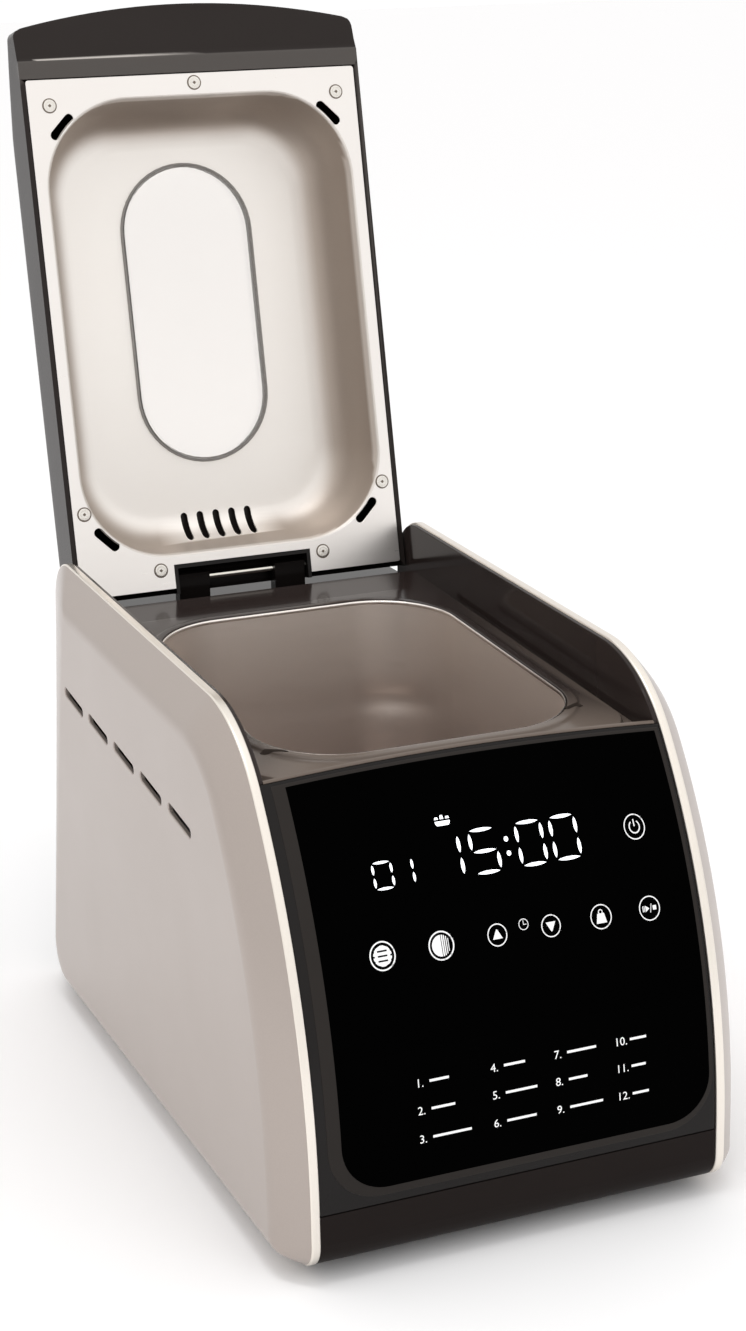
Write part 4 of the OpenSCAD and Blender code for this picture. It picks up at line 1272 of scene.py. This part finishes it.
    def programme_bars(self) -> Object:
        """A short plain bar beside each number."""
        rows, columns = (83.4, 71.4, 58.8), (-46.8, -12.0, 18.2, 47.6)
        lengths = (9.0, 11.0, 18.0, 10.0, 15.0, 14.0, 14.0, 9.0, 16.0, 8.0, 7.0, 8.0)
        bm = bmesh.new()
        for x, y, z in ((-0.5, 0, -0.5), (0.5, 0, -0.5), (0.5, 0, 0.5), (-0.5, 0, 0.5)):
            bm.verts.new((x * MM, y, z * MM))
        bm.verts.ensure_lookup_table()
        made = bm.faces.new(list(bm.verts))
        grown = bmesh.ops.extrude_face_region(bm, geom=[made])
        for v in grown["geom"]:
            if isinstance(v, bmesh.types.BMVert):
                v.co.y = self.thick * MM
        unit = finished("bar_unit", bm, 30)
        spots = []
        for i, length in enumerate(lengths):
            x, z = columns[i // 3] + (5.6 if i > 8 else 4.4) + length / 2, rows[i % 3]
            spots.append(Spot(BODY.on_front(x, z, self.lift), (-BODY.front_tilt(z), 0, 0), (length, 1.0, 1.1)))
        return repeated("programme_bars", unit, spots, Finishes.PRINT.value.build())

    def build(self) -> None:
        """Makes and dresses the marks."""
        dress(self.digits(), Finishes.LIT, "body", ())
        dress(self.flat("clock_colon", self.colon()), Finishes.LIT, "body", ())
        dress(self.flat("touch_keys", self.keys()), Finishes.PRINT, "body", ())
        dress(self.flat("loaf_sign", self.loaf_sign()), Finishes.LIT, "body", ())
        dress(self.programme_numbers(), Finishes.PRINT, "body", ())
        dress(self.programme_bars(), Finishes.PRINT, "body", ())


@dataclass
class Oven:
    """The stainless liner with rolled rim, round floor edge and drive opening."""

    sheet: float = 0.8
    floor_z: float = 72.0
    floor_r: float = 17.0
    hub_r: float = 11.0
    dent: tuple[float, float, float] = (58.0, 87.5, 163.0)
    dent_size: Point2 = (20.0, 7.0)
    dent_deep: float = 2.0

    def ring(self, grow: float, place: Callable[[float, float], Vector]) -> list[Vector]:
        """A ring of the mouth's outline, grown outwards."""
        deck = Deck()
        loop = rounded(deck.mouth_w + 2 * grow, deck.mouth_l + 2 * grow, max(2.0, deck.mouth_r + grow), 32, deck.mouth_y)
        return [place(x, y) for x, y in loop]

    def level(self, grow: float, z: float) -> list[Vector]:
        """A level ring at height z."""
        return self.ring(grow, lambda x, y: world(x, y, z))

    def sloped(self, grow: float, h: float) -> list[Vector]:
        """A ring at height h over the deck."""
        return self.ring(grow, lambda x, y: BODY.on_deck(x, y, h))

    def hub_ring(self, r: float, z: float) -> list[Vector]:
        """A ring round the drive opening, with as many points as the mouth's."""
        deck = Deck()
        loop = rounded(2 * r, 2 * r, r, 32, deck.mouth_y)
        return [world(x, y, z) for x, y in loop]

    def press_dent(self, liner: Object) -> None:
        """Presses the shallow dent into the corner of the wall at the rear right."""
        centre = world(*self.dent)
        turn = world(36, 54, 0)
        for v in liner.data.vertices:
            off = v.co - centre
            out = Vector((v.co.x - turn.x, v.co.y - turn.y, 0.0))
            flat = math.hypot(off.x, off.y) / (self.dent_size[0] * MM)
            high = off.z / (self.dent_size[1] * MM)
            push = math.exp(-flat * flat - high * high) * self.dent_deep * MM
            v.co += out.normalized() * push

    def build(self) -> None:
        """Makes and dresses the liner."""
        rings = [self.hub_ring(self.hub_r, self.floor_z), self.hub_ring(self.hub_r + 8, self.floor_z)]
        bend = 10
        for i in range(bend + 1):
            a = math.pi / 2 * i / bend
            rings.append(self.level(-self.floor_r + self.floor_r * math.sin(a), self.floor_z + self.floor_r * (1 - math.cos(a))))
        rings += [self.level(0, z) for z in (105, 125, *range(134, 194, 3))]
        rings += [self.sloped(0, h) for h in (-5.0, -2.0, 1.0, 2.9)]
        rim = 5
        for i in range(1, rim + 1):
            a = math.pi / 2 * i / rim
            rings.append(self.sloped(0.5 * (1 - math.cos(a)), 2.9 + 0.6 * math.sin(a)))
        rings += [self.sloped(0.72, 3.4), self.sloped(self.sheet, 3.1), self.sloped(self.sheet, 0.0)]
        rings += [self.level(self.sheet, z) for z in (191, 160, 130, 110)]
        for i in range(bend, -1, -1):
            a = math.pi / 2 * i / bend
            r = self.floor_r + self.sheet
            rings.append(self.level(self.sheet - r + r * math.sin(a), self.floor_z - self.sheet + r * (1 - math.cos(a))))
        rings.append(self.hub_ring(self.hub_r, self.floor_z - self.sheet))
        liner = loft("oven_liner_skin", rings, last=Cap.JOIN, sharp=60)
        self.press_dent(liner)
        # painted shade: the liner darkens from 8 mm under the deck down over 66 mm, where shade falls in the cavity
        layer = liner.data.attributes.new("toned", "FLOAT", "POINT")
        high = (BODY.deck_z - 8) * MM
        depth = 66 * MM
        layer.data.foreach_set("value", [min(1.0, max(0.0, (high - v.co.z) / depth)) for v in liner.data.vertices])
        dress(liner, Finishes.LINER, "body", ("oven_liner",))
        line = ((-0.2, 2.2), (-0.3, 3.2), (-0.1, 3.8), (0.3, 4.0), (0.7, 3.8), (0.86, 3.2), (0.86, 2.0))
        edge = loft("oven_liner_rim", [self.sloped(grow, h) for grow, h in line], last=Cap.JOIN, sharp=60)
        # painted shade: the rim darkens towards its front, from 30 mm ahead of the middle over 35 mm
        front = [max(0.0, min(1.0, (-30 * MM - v.co.y + world(0, 0, 0).y) / (35 * MM))) for v in edge.data.vertices]
        edge.data.attributes.new("toned", "FLOAT", "POINT").data.foreach_set("value", front)
        dress(edge, Finishes.POLISHED_RIM, "body", ("oven_liner",))


# ------------------------------------------------------------------ lid


@dataclass
class Lid:
    """The open lid: cover, steel plate with its bowl, window and screws."""

    half: float = 92.0
    side_t: float = 28.0
    mid_t: float = 43.0
    lip_v: float = 289.0
    lip_bow: float = 10.75
    lip_r: float = 90.0
    rear_r: float = 36.0
    corner_r: float = 5.0
    lip_taper: float = 9.0
    plate_half: float = 89.2
    plate_l: float = 263.5
    bowl_w: float = 167.0
    bowl_l: float = 236.0
    bowl_v: float = 134.8
    bowl_r: float = 46.0
    bowl_d: float = 37.0
    window_v: float = 142.5
    window_w: float = 72.6
    window_l: float = 158.0
    notch_half: float = 38.0
    notch_v: float = 12.4
    vent_x: tuple[float, ...] = (-18.0, -9.0, 0.0, 9.0, 18.0)
    heat_flat: float = 6.0
    shade_more: float = 5.0
    shade_reach: float = 13.0
    rim_w: float = 2.0
    trough_t: float = 1.8
    trough_r: float = 6.0
    screws: tuple[Point2, ...] = (
        (-78.0, 250.4), (78.0, 250.4), (0.0, 258.6), (-83.0, 43.6), (83.0, 43.6), (-45.3, 10.3), (45.3, 10.3),
    )

    def depth(self, x: float, v: float) -> float:
        """The cover's depth behind the plate at a place, with softened edges."""
        along = 0.0
        rear_v, bend_v = self.rear_r - 3, self.lip_v - 60.1
        if v < rear_v:
            along = self.rear_r - math.sqrt(max(0.0, self.rear_r**2 - (rear_v - v) ** 2))
        if v > bend_v:
            along = self.lip_r - math.sqrt(max(0.0, self.lip_r**2 - (v - bend_v) ** 2))
        soft = 1.5
        past = soft * math.log(1 + math.exp((abs(x) - (self.half - 20)) / soft))
        thin = self.lip_taper * min(1.0, max(0.0, (v - 236) / 44))
        across = past * (self.mid_t - self.side_t + thin) / 20
        return self.mid_t - (along**4 + across**4) ** 0.25

    def section(self, v: float, draw: float, lip: float) -> list[Vector]:
        """A cross-section of the cover, from its left rim over the outside to its right rim.

        Args:
            v: distance from the hinge edge at the sides.
            draw: how far the section is drawn in, for the inside.
            lip: 0 to 1, how far it follows the bowed lip.

        Returns:
            The section's points.
        """
        half = self.half - draw
        out = []
        for x, share in self.across(half):
            bow = self.lip_drop(x) * lip
            deep = max(3.0, self.depth(x, v + bow) - draw)
            high = self.lip_top(v + bow)
            out.append(LID.at(x, v + bow, high - (deep + high) * share))
        return out

    def lip_top(self, v: float) -> float:
        """The height of the cover's inner edge: flush up to the plate's step, then falling to the lip."""
        if v < 272.5:
            return 0.0
        if v < 274.0:
            return -1.2 * (v - 272.5) / 1.5
        return -1.2 - 4.8 * min(1.0, (v - 274.0) / 22.0)

    def across(self, half: float) -> list[tuple[float, float]]:
        """The places over the width where a section has points, each with its share of the depth."""
        line = [(-half, f) for f in (0.0, 0.25, 0.5, 0.75, 0.9)]
        line += [(-half + 1.6 - 1.6 * math.cos(a), 1 - 0.1 * (1 - math.sin(a))) for a in (0.4, 0.9, math.pi / 2)]
        line += [(-half + 1.6 + 24 * (i / 8), 1.0) for i in range(1, 9)]
        middle = half - 25.6
        line += [(-middle + middle * i / 8, 1.0) for i in range(1, 9)]
        return line + [(-x, f) for x, f in line[-2::-1]]

    def lip_drop(self, x: float) -> float:
        """How far the lip's edge stands out at x: an arc whose ends turn round the corners."""
        bow, r = self.lip_bow, self.corner_r
        big = (self.half**2 + bow**2) / (2 * bow)
        cx = self.half - r
        cv = bow - big + math.sqrt((big - r) ** 2 - cx**2)
        reach = cx * big / (big - r)
        if abs(x) < reach:
            return bow - big + math.sqrt(big**2 - x * x)
        return cv + math.sqrt(max(0.0, r * r - (abs(x) - cx) ** 2))

    def cover(self) -> Object:
        """The cover: outer skin, lip and inner skin in one closed shape."""
        stations = [-3.0, -1.0, 3.0, 8.0, 14.0, 20.0, 27.0, 60.0, 120.0, 180.0, 230.0]
        stations += [238.0, 246.0, 254.0, 262.0, 270.0, 276.0, 281.0, 285.0, 287.5, 289.0]

        def lip(v: float) -> float:
            """How far a station follows the lip's bow."""
            return max(0.0, min(1.0, (v - 236) / 53))

        outer = [self.section(v, 0.0, lip(v)) for v in stations]
        wall = 2.4
        inner_v = [262.5, 250.0, 236.0, 180.0, 120.0, 60.0, 27.0, 14.0, 6.0, 0.5]
        inner = [self.section(v, wall, 0.0) for v in inner_v]
        lip_face = self.lip_face()
        return loft("lid_cover_skin", outer + lip_face + inner, last=Cap.JOIN, round_rings=False, sharp=38)

    def lip_face(self) -> list[list[Vector]]:
        """The rows of the lip's inner face, from the front edge back to the steel plate."""
        rows = []
        for v, lip in ((289.0, 1.0), (288.2, 0.97), (286.0, 0.85), (281.0, 0.5), (277.0, 0.25), (275.0, 0.12),
                       (274.0, 0.06), (273.3, 0.02), (272.8, 0.0), (272.4, 0.0), (271.6, 0.0), (268.0, 0.0), (264.1, 0.0)):
            row = []
            for x, _ in self.across(self.half):
                at = v + self.lip_drop(x) * lip
                row.append(LID.at(x, at, self.lip_top(at) - (0.25 if v > 288.5 else 0.0)))
            rows.append(row)
        rows.append([LID.at(x, 263.8, -1.6) for x, _ in self.across(self.half - 2.4)])
        return rows

    def plate(self) -> Object:
        """The flat steel sheet with the hinge notch, the bowl's opening and slots."""
        r, half, l = 1.6, self.plate_half, self.plate_l
        n, nv = self.notch_half, self.notch_v
        outer = [(-half, r * 0.4), (-half + 1, 0.0), (-n, 0.0), (-n, nv), (n, nv), (n, 0.0), (half - 1, 0.0), (half, r * 0.4)]
        outer += arc(half - r, l - r, r, 0, math.pi / 2, 8)
        outer += arc(-half + r, l - r, r, math.pi / 2, math.pi, 8)
        holes = [rounded(self.bowl_w, self.bowl_l, self.bowl_r, 18, self.bowl_v)]
        for s in (-1, 1):
            holes.append(turned(stadium(4.8, 16.0, 8), math.radians(s * -45 + 90), s * 72.6, 239.6))
            holes.append(turned(stadium(4.8, 16.0, 8), math.radians(s * 45 + 90), s * 72.4, 29.4))
        levels = ((-0.8, 0.0), (-0.15, 0.0), (0.0, 0.15))
        return sheet_with_holes("lid_plate_sheet", outer, holes, levels, LID.at)

    def bowl(self) -> Object:
        """The pressed bowl with a rolled upper edge, sloped walls, round floor edge and window opening."""
        thick = 0.8
        path = self.bowl_path()
        rings = [self.bowl_ring(inset, w) for inset, w in path]
        last = rings[-1]
        hole = self.matched_stadium(self.window_w - 3.6, self.window_l - 3.6, -self.bowl_d)
        for share in (0.1, 0.22, 0.36, 0.55, 0.78):
            rings.append([a.lerp(b, share) for a, b in zip(last, hole)])
        rings.append(hole)
        rings.append(self.matched_stadium(self.window_w - 3.6, self.window_l - 3.6, -self.bowl_d - thick))
        rings += [self.bowl_ring(inset - 0.5, w - thick) for inset, w in path[::-1]]
        piece = loft("lid_bowl_skin", rings, last=Cap.JOIN, sharp=60)
        self.paint_bowl_shade(piece)
        return cut(piece, self.vent_cutters(), sharp=50)

    def bowl_path(self) -> list[tuple[float, float]]:
        """The bowl's wall as (inset, height), from the rolled edge to the floor."""
        path = [(-0.2, -0.05), (0.3, -0.12), (0.9, -0.6), (1.3, -1.5)]
        steps = 16
        drop, run = self.bowl_d - 1.5, 19.0
        for i in range(1, steps + 1):
            a = math.pi / 2 * i / steps
            path.append((1.3 + run * (1 - math.cos(a)) ** 1.15, -1.5 - drop * math.sin(a) ** 1.0))
        path.append((24.0, -self.bowl_d))
        return path

    def bowl_ring(self, inset: float, w: float) -> list[Vector]:
        """A ring of the bowl, drawn in by inset at height w."""
        loop = rounded(self.bowl_w - 2 * inset, self.bowl_l - 2 * inset, max(8.0, self.bowl_r - inset * 0.75), 18, self.bowl_v)
        return [LID.at(x, v, w) for x, v in loop]

    def matched_stadium(self, w: float, l: float, depth: float) -> list[Vector]:
        """The window's outline with as many points as the bowl's rings."""
        loop = rounded(w, l, w / 2 - 0.01, 18, self.window_v)
        return [LID.at(x, v, depth) for x, v in loop]

    def paint_bowl_shade(self, piece: Object) -> None:
        """Writes the painted-shade mask that browns the bowl's wall, most at the top and on the right, less on the
        rolled edge.
        """
        core_x, core_v = self.bowl_w / 2 - self.bowl_r, self.bowl_l / 2 - self.bowl_r
        start = LID.at(0, 0, 0)
        along = (LID.at(0, 1, 0) - start).normalized()
        values = []
        for vert in piece.data.vertices:
            x, v = vert.co.x / MM, (vert.co - start).dot(along) / MM - self.bowl_v
            dx = x - max(-core_x, min(core_x, x))
            dv = v - max(-core_v, min(core_v, v))
            far = math.hypot(dx, dv) or 1.0
            side = max(0.0, min(1.0, 0.5 + 0.5 * (dx + dv) / far))
            inset = self.bowl_r - far
            fade = max(0.0, min(1.0, (inset - self.heat_flat - self.shade_more * side) / self.shade_reach))
            edge = 0.35 if inset < 1.4 else 1.0
            values.append(edge * (0.88 + 0.12 * side) * (1 - fade * fade * (3 - 2 * fade)))
        piece.data.attributes.new("toned", "FLOAT", "POINT").data.foreach_set("value", values)

    def vent_cutters(self) -> list[Object]:
        """Five upright slots in the bowl's wall near the hinge."""
        shapes = []
        for x in self.vent_x:
            rings = []
            for w in (-50.0, -14.0):
                loop = turned(stadium(3.8, 14.6, 10), 0.0, x, 30.0)
                rings.append([LID.at(a, b, w) for a, b in loop])
            shapes.append(loft("bowl_vent_cutter", rings))
        return shapes

    def screw_unit(self) -> Object:
        """A pan-head screw with a cross recess, head along +z, in metres round its seat."""
        rings = []
        for r, z in (
            (0.01, -3.0), (1.7, -3.0), (1.8, 0.0), (3.1, 0.02), (3.2, 0.15), (3.1, 0.4), (2.9, 0.5), (2.35, 0.52), (2.2, 0.3),
            (2.0, 0.3), (1.85, 0.52), (0.9, 0.56), (0.01, 0.56),
        ):
            rings.append([Vector((x * MM, y * MM, z * MM)) for x, y in arc(0, 0, r, 0, 2 * math.pi, 24)[:-1]])
        head = loft("screw_unit", rings, sharp=50)
        cutters = []
        for turn in (0.0, math.pi / 2):
            loop = turned(rounded(2.4, 0.6, 0.05, 1), turn, 0, 0)
            cutters.append(loft("screw_cross", [[Vector((x * MM, y * MM, z * MM)) for x, y in loop] for z in (0.2, 3.0)]))
        return cut(head, cutters, sharp=35)

    def screw_heads(self) -> Object:
        """The seven screws of the plate."""
        turn = (LID.turn, 0.0, 0.0)
        spots = [Spot(LID.at(x, v, 0.05), turn) for x, v in self.screws]
        return repeated("lid_screw_heads", self.screw_unit(), spots, Finishes.SCREW.value.build())

    def screw_marks(self) -> Object:
        """The dark rings of painted shade in the groove round each screw head and the recess in its middle."""
        turn = (LID.turn, 0.0, 0.0)
        parts = []
        for line in (((3.1, 0.1), (3.25, 0.16), (3.7, 0.16), (3.8, 0.08), (3.45, 0.02)), ((0.05, 0.5), (0.05, 0.6), (0.7, 0.6), (0.75, 0.5))):
            rings = [[Vector((x * MM, y * MM, z * MM)) for x, y in arc(0, 0, r, 0, 2 * math.pi, 24)[:-1]] for r, z in line]
            parts.append(loft("screw_mark", rings, last=Cap.JOIN, sharp=50))
        spots = [Spot(LID.at(x, v, 0.05), turn) for x, v in self.screws]
        return repeated("lid_screw_marks", joined("screw_mark_unit", parts), spots, Finishes.RECESS.value.build())

    def paint_lip_highlight(self, cover: Object) -> None:
        """Writes the painted-highlight mask that lightens the band and step line before the steel plate."""
        start = LID.at(0, 0, 0)
        along, out = (LID.at(0, 1, 0) - start).normalized(), (LID.at(0, 0, 1) - start).normalized()
        values = []
        for vert in cover.data.vertices:
            x, v, w = vert.co.x / MM, (vert.co - start).dot(along) / MM, (vert.co - start).dot(out) / MM
            value = 0.0
            if w > -1.9 and 263.9 < v < 272.9:
                value = 0.09
            elif w > -1.9 and 272.9 <= v < 273.9:
                value = 0.8 * max(0.0, min(1.0, (8.0 - x) / 40.0)) if x > -84 else 0.0
            values.append(value)
        cover.data.attributes.new("toned", "FLOAT", "POINT").data.foreach_set("value", values)

    def pane(self, name: str, w: float, l: float, low: float, high: float, crown: float) -> Object:
        """A window pane with rounded rim and slightly crowned face."""
        rings = []
        for share, edge, height in ((0.25, 0, low), (0.6, 0, low), (1, 0.6, low), (1, 0, low + 0.6), (1, 0, high - 0.9)):
            rings.append(self.pane_ring(w, l, share, edge, height))
        for share, edge, height in ((1, 0.25, high - 0.35), (1, 0.9, high), (0.94, 0, high + crown * 0.2), (0.8, 0, high + crown * 0.5),
                                    (0.6, 0, high + crown * 0.78), (0.35, 0, high + crown * 0.94), (0.12, 0, high + crown)):
            rings.append(self.pane_ring(w, l, share, edge, height))
        return loft(name, rings, sharp=60)

    def pane_ring(self, w: float, l: float, share: float, edge: float, height: float) -> list[Vector]:
        """One ring of a pane, shrunk by share and drawn in by edge."""
        loop = stadium((w - 2 * edge) * share, (l - 2 * edge) - (1 - share) * w, 24, self.window_v)
        return [LID.at(x, v, height) for x, v in loop]

    def seal(self) -> Object:
        """The soft ring that holds the pane."""
        w, l, d = self.window_w, self.window_l, -self.bowl_d
        rings = []
        for grow, h in ((-4.6, -2.6), (-4.6, 0.55), (-1.6, 0.62), (-1.6, 0.95), (-1.1, 1.2), (-0.3, 1.2), (0.4, 0.85), (0.7, 0.2), (-3.7, 0.05), (-3.7, -2.6)):
            rings.append([LID.at(x, v, d + h) for x, v in stadium(w + grow, l + grow, 24, self.window_v)])
        return loft("window_seal_ring", rings, last=Cap.JOIN, sharp=50)

    def trough_prism(self, name: str, grow: float, rear: float, top: float) -> Object:
        """The space round the hinge pin, open to the plate's notch and to the rear.

        Args:
            name: the piece's name.
            grow: how far it is grown.
            rear: where it ends towards the rear.
            top: its height over the plate.

        Returns:
            The new piece.
        """
        half = self.notch_half - self.rim_w + grow
        r = self.trough_r + grow
        low = -LID.pin_off - self.trough_r - 1.5 - grow
        line = [(rear, top), (rear, low), *arc(LID.pin_v, -LID.pin_off, r, -math.pi / 2, 0, 12), (LID.pin_v + r, top)]
        rings = [[LID.at(x, v, w) for v, w in line] for x in (-half, half)]
        return loft(name, rings, sharp=35)

    def pin_cutter(self) -> Object:
        """The hole for the hinge pin through the trough's ends."""
        hole = [(LID.pin_v + y, -LID.pin_off + z) for y, z in arc(0, 0, 1.9, 0, 2 * math.pi, 32)[:-1]]
        return loft("pin_cutter", [[LID.at(x, v, w) for v, w in hole] for x in (-60.0, 60.0)])

    def build(self) -> None:
        """Makes and dresses the lid's pieces."""
        cover = self.cover()
        self.paint_lip_highlight(cover)
        window = [[LID.at(x, v, w) for x, v in stadium(self.window_w - 3, self.window_l - 3, 20, self.window_v)] for w in (-60.0, -36.0)]
        cut(cover, [self.trough_prism("trough_cutter", 0.0, -12.0, 3.0), loft("window_cutter", window)], sharp=35)
        dress(cover, Finishes.LID_COVER, "lid", ("lid_shell",))
        trough = self.trough_prism("hinge_trough_wall", self.trough_t, -2.9, 0.0)
        cut(trough, [self.trough_prism("trough_cutter", 0.0, -12.0, 3.0), self.pin_cutter()], sharp=35)
        dress(trough, Finishes.HOUSING, "lid", ("lid_shell",))
        plate = self.plate()
        # the plate's painted-shade mask, left all zero
        plate.data.attributes.new("toned", "FLOAT", "POINT")
        dress(plate, Finishes.PLATE, "lid", ("lid_inner_plate",))
        dress(self.bowl(), Finishes.BOWL, "lid", ("lid_inner_plate",))
        dress(self.screw_heads(), Finishes.SCREW, "lid", ("lid_screws",))
        dress(self.screw_marks(), Finishes.RECESS, "lid", ("lid_screws",))
        dress(self.seal(), Finishes.SEAL, "lid", ("window_seal",))
        w, l, d = self.window_w, self.window_l, self.bowl_d
        pane = self.pane("lid_window_pane", w - 2.0, l - 2.0, -d + 0.65, -d + 3.2, 1.2)
        dress(pane, Finishes.GLASS, "lid", ("lid_window",))
        outer = self.pane("outer_window_pane", w - 1.0, l - 1.0, -self.mid_t - 0.85, -self.mid_t + 1.4, 0.2)
        dress(outer, Finishes.GLASS, "lid", ("lid_outer_window",))


# ------------------------------------------------------------------ nodes that keep their CAD shape


@dataclass
class InnerParts:
    """The pieces whose CAD shape is right: they get merged, smooth copies and finishes."""

    finishes: dict[str, Finishes] = field(
        default_factory=lambda: {
            "base_tray": Finishes.BASE,
            "rear_cover": Finishes.BASE,
            "rubber_feet": Finishes.RUBBER,
            "cable_gland": Finishes.NYLON,
            "control_board": Finishes.BOARD,
            "display_module": Finishes.CERAMIC,
            "heat_shield": Finishes.BARE_METAL,
            "heater_element": Finishes.DARK_METAL,
            "heater_insulators": Finishes.CERAMIC,
            "temperature_sensor": Finishes.BARE_METAL,
            "thermal_fuse": Finishes.CERAMIC,
            "chassis_plate": Finishes.BARE_METAL,
            "chassis_screws": Finishes.SCREW,
            "shaft_bearing": Finishes.BARE_METAL,
            "drive_shaft": Finishes.PIN,
            "drive_coupling": Finishes.BARE_METAL,
            "large_pulley": Finishes.NYLON,
            "motor_pulley": Finishes.BARE_METAL,
            "drive_belt": Finishes.RUBBER,
            "motor_stator": Finishes.BARE_METAL,
            "motor_rotor": Finishes.COPPER,
            "cooling_fan": Finishes.NYLON,
            "power_board": Finishes.BOARD,
            "hinge_knuckles": Finishes.HOUSING,
            "hinge_pin": Finishes.PIN,
            "lid_hinge_lugs": Finishes.HOUSING,
        }
    )

    def build(self) -> None:
        """Dresses every such node."""
        for node, finish in self.finishes.items():
            dress(carried(node), finish)


# ------------------------------------------------------------------ studio


@dataclass
class Studio:
    """The pale floor, soft light and camera."""

    place: tuple[float, float, float] = (-435.6, -1072.2, 560.4)
    right: tuple[float, float, float] = (0.92123, -0.38852, -0.01981)
    up: tuple[float, float, float] = (0.12929, 0.25774, 0.95753)
    forward: tuple[float, float, float] = (0.36691, 0.88466, -0.28767)
    focal_px: float = 2544.8
    image_h: float = 1331.0
    sensor: float = 36.0
    rear_light: float = 0.8
    front_light: float = 0.95
    top_share: float = 1.3
    low_fill: float = 0.56
    high_fill: float = 1.26

    def camera(self) -> None:
        """The camera, upright, with the whole machine in view."""
        data = bpy.data.cameras.new("camera")
        data.sensor_fit = "VERTICAL"
        data.sensor_height = self.sensor
        data.sensor_width = self.sensor
        data.lens = self.focal_px * self.sensor / self.image_h
        data.clip_end = 50.0
        cam = bpy.data.objects.new("camera", data)
        bpy.context.scene.collection.objects.link(cam)
        back = [-c for c in self.forward]
        turn = Matrix((self.right, self.up, back)).transposed().to_4x4()
        cam.matrix_world = Matrix.Translation(world(*self.place)) @ turn
        bpy.context.scene.camera = cam

    def floor(self) -> None:
        """A wide pale floor."""
        mesh = bpy.data.meshes.new("studio_floor")
        size = 12.0
        mesh.from_pydata([(-size, -size, 0), (size, -size, 0), (size, size, 0), (-size, size, 0)], [], [(0, 1, 2, 3)])
        piece = bpy.data.objects.new("studio_floor", mesh)
        bpy.context.scene.collection.objects.link(piece)
        piece.data.materials.append(Finish("studio_paper", "#fbfafa", rough=0.9, specular=0.0).build())

    def softbox(self, name: str, place: tuple[float, float, float], aim: tuple[float, float, float], size: tuple[float, float], watts: float, mirrored: bool = True) -> None:
        """One rectangular soft light aimed at a point, all in metres; mirrored if it shows in gloss."""
        data = bpy.data.lights.new(name, "AREA")
        data.shape = "RECTANGLE"
        data.size, data.size_y = size
        data.energy = watts
        lamp = bpy.data.objects.new(name, data)
        bpy.context.scene.collection.objects.link(lamp)
        lamp.location = place
        lamp.visible_glossy = mirrored
        lamp.rotation_euler = (Vector(aim) - Vector(place)).to_track_quat("-Z", "Y").to_euler()

    def sky(self) -> None:
        """White surroundings for the lens; what lights the machine fades from front and top to the rear."""
        made = bpy.data.worlds.new("studio")
        made.use_nodes = True
        tree = made.node_tree
        tree.nodes.clear()
        toward = add_node(tree, "ShaderNodeTexCoord").outputs["Generated"]
        parts = add_node(tree, "ShaderNodeSeparateXYZ", {0: toward}).outputs
        front = add_node(
            tree, "ShaderNodeMapRange",
            {"Value": parts["Y"], "From Min": 0.6, "From Max": -0.9, "To Min": self.rear_light, "To Max": self.front_light},
        ).outputs[0]
        high = add_node(
            tree, "ShaderNodeMapRange", {"Value": parts["Z"], "From Min": -0.1, "From Max": 0.9, "To Min": 1.0, "To Max": self.top_share}
        ).outputs[0]
        level = add_node(tree, "ShaderNodeMath", {0: front, 1: high}, operation="MULTIPLY").outputs[0]
        dome = add_node(
            tree, "ShaderNodeMapRange", {"Value": parts["Z"], "From Min": 0.0, "From Max": 1.0, "To Min": self.low_fill, "To Max": self.high_fill}
        ).outputs[0]
        rays = add_node(tree, "ShaderNodeLightPath").outputs
        lit = add_node(tree, "ShaderNodeBackground", {"Color": (1.0, 1.0, 1.0, 1.0), "Strength": dome})
        mirrored = add_node(tree, "ShaderNodeBackground", {"Color": (1.0, 0.99, 0.98, 1.0), "Strength": level})
        seen = add_node(tree, "ShaderNodeBackground", {"Color": (1.0, 1.0, 1.0, 1.0), "Strength": 1.02})
        clear = add_node(tree, "ShaderNodeMath", {0: rays["Is Camera Ray"], 1: rays["Is Transmission Ray"]}, operation="MAXIMUM").outputs[0]
        both = add_node(tree, "ShaderNodeMixShader", {0: rays["Is Glossy Ray"], 1: lit.outputs[0], 2: mirrored.outputs[0]})
        every = add_node(tree, "ShaderNodeMixShader", {0: clear, 1: both.outputs[0], 2: seen.outputs[0]})
        add_node(tree, "ShaderNodeOutputWorld", {"Surface": every.outputs[0]})
        bpy.context.scene.world = made

    def build(self) -> None:
        """Makes the whole studio."""
        self.camera()
        self.floor()
        self.sky()
        self.softbox("top_softbox", (-0.35, -0.25, 2.2), (0, 0, 0.2), (0.9, 0.35), 7)
        self.softbox("front_softbox", (0.9, -2.2, 1.0), (0, 0, 0.25), (1.2, 1.6), 4, mirrored=False)
        self.softbox("left_strip", (-1.5, -1.8, 0.6), (0, 0, 0.2), (0.5, 1.6), 5, mirrored=False)
        bpy.context.scene.view_settings.view_transform = "Standard"


def main() -> None:
    """Builds the machine's pieces in order."""
    logging.basicConfig(level=logging.INFO, format="%(message)s")
    Studio().build()
    for maker in (SidePanels(), Deck(), ControlFront(), Oven(), Lid(), InnerParts()):
        log.info("building %s", type(maker).__name__)
        maker.build()


if __name__ == "__main__":
    main()
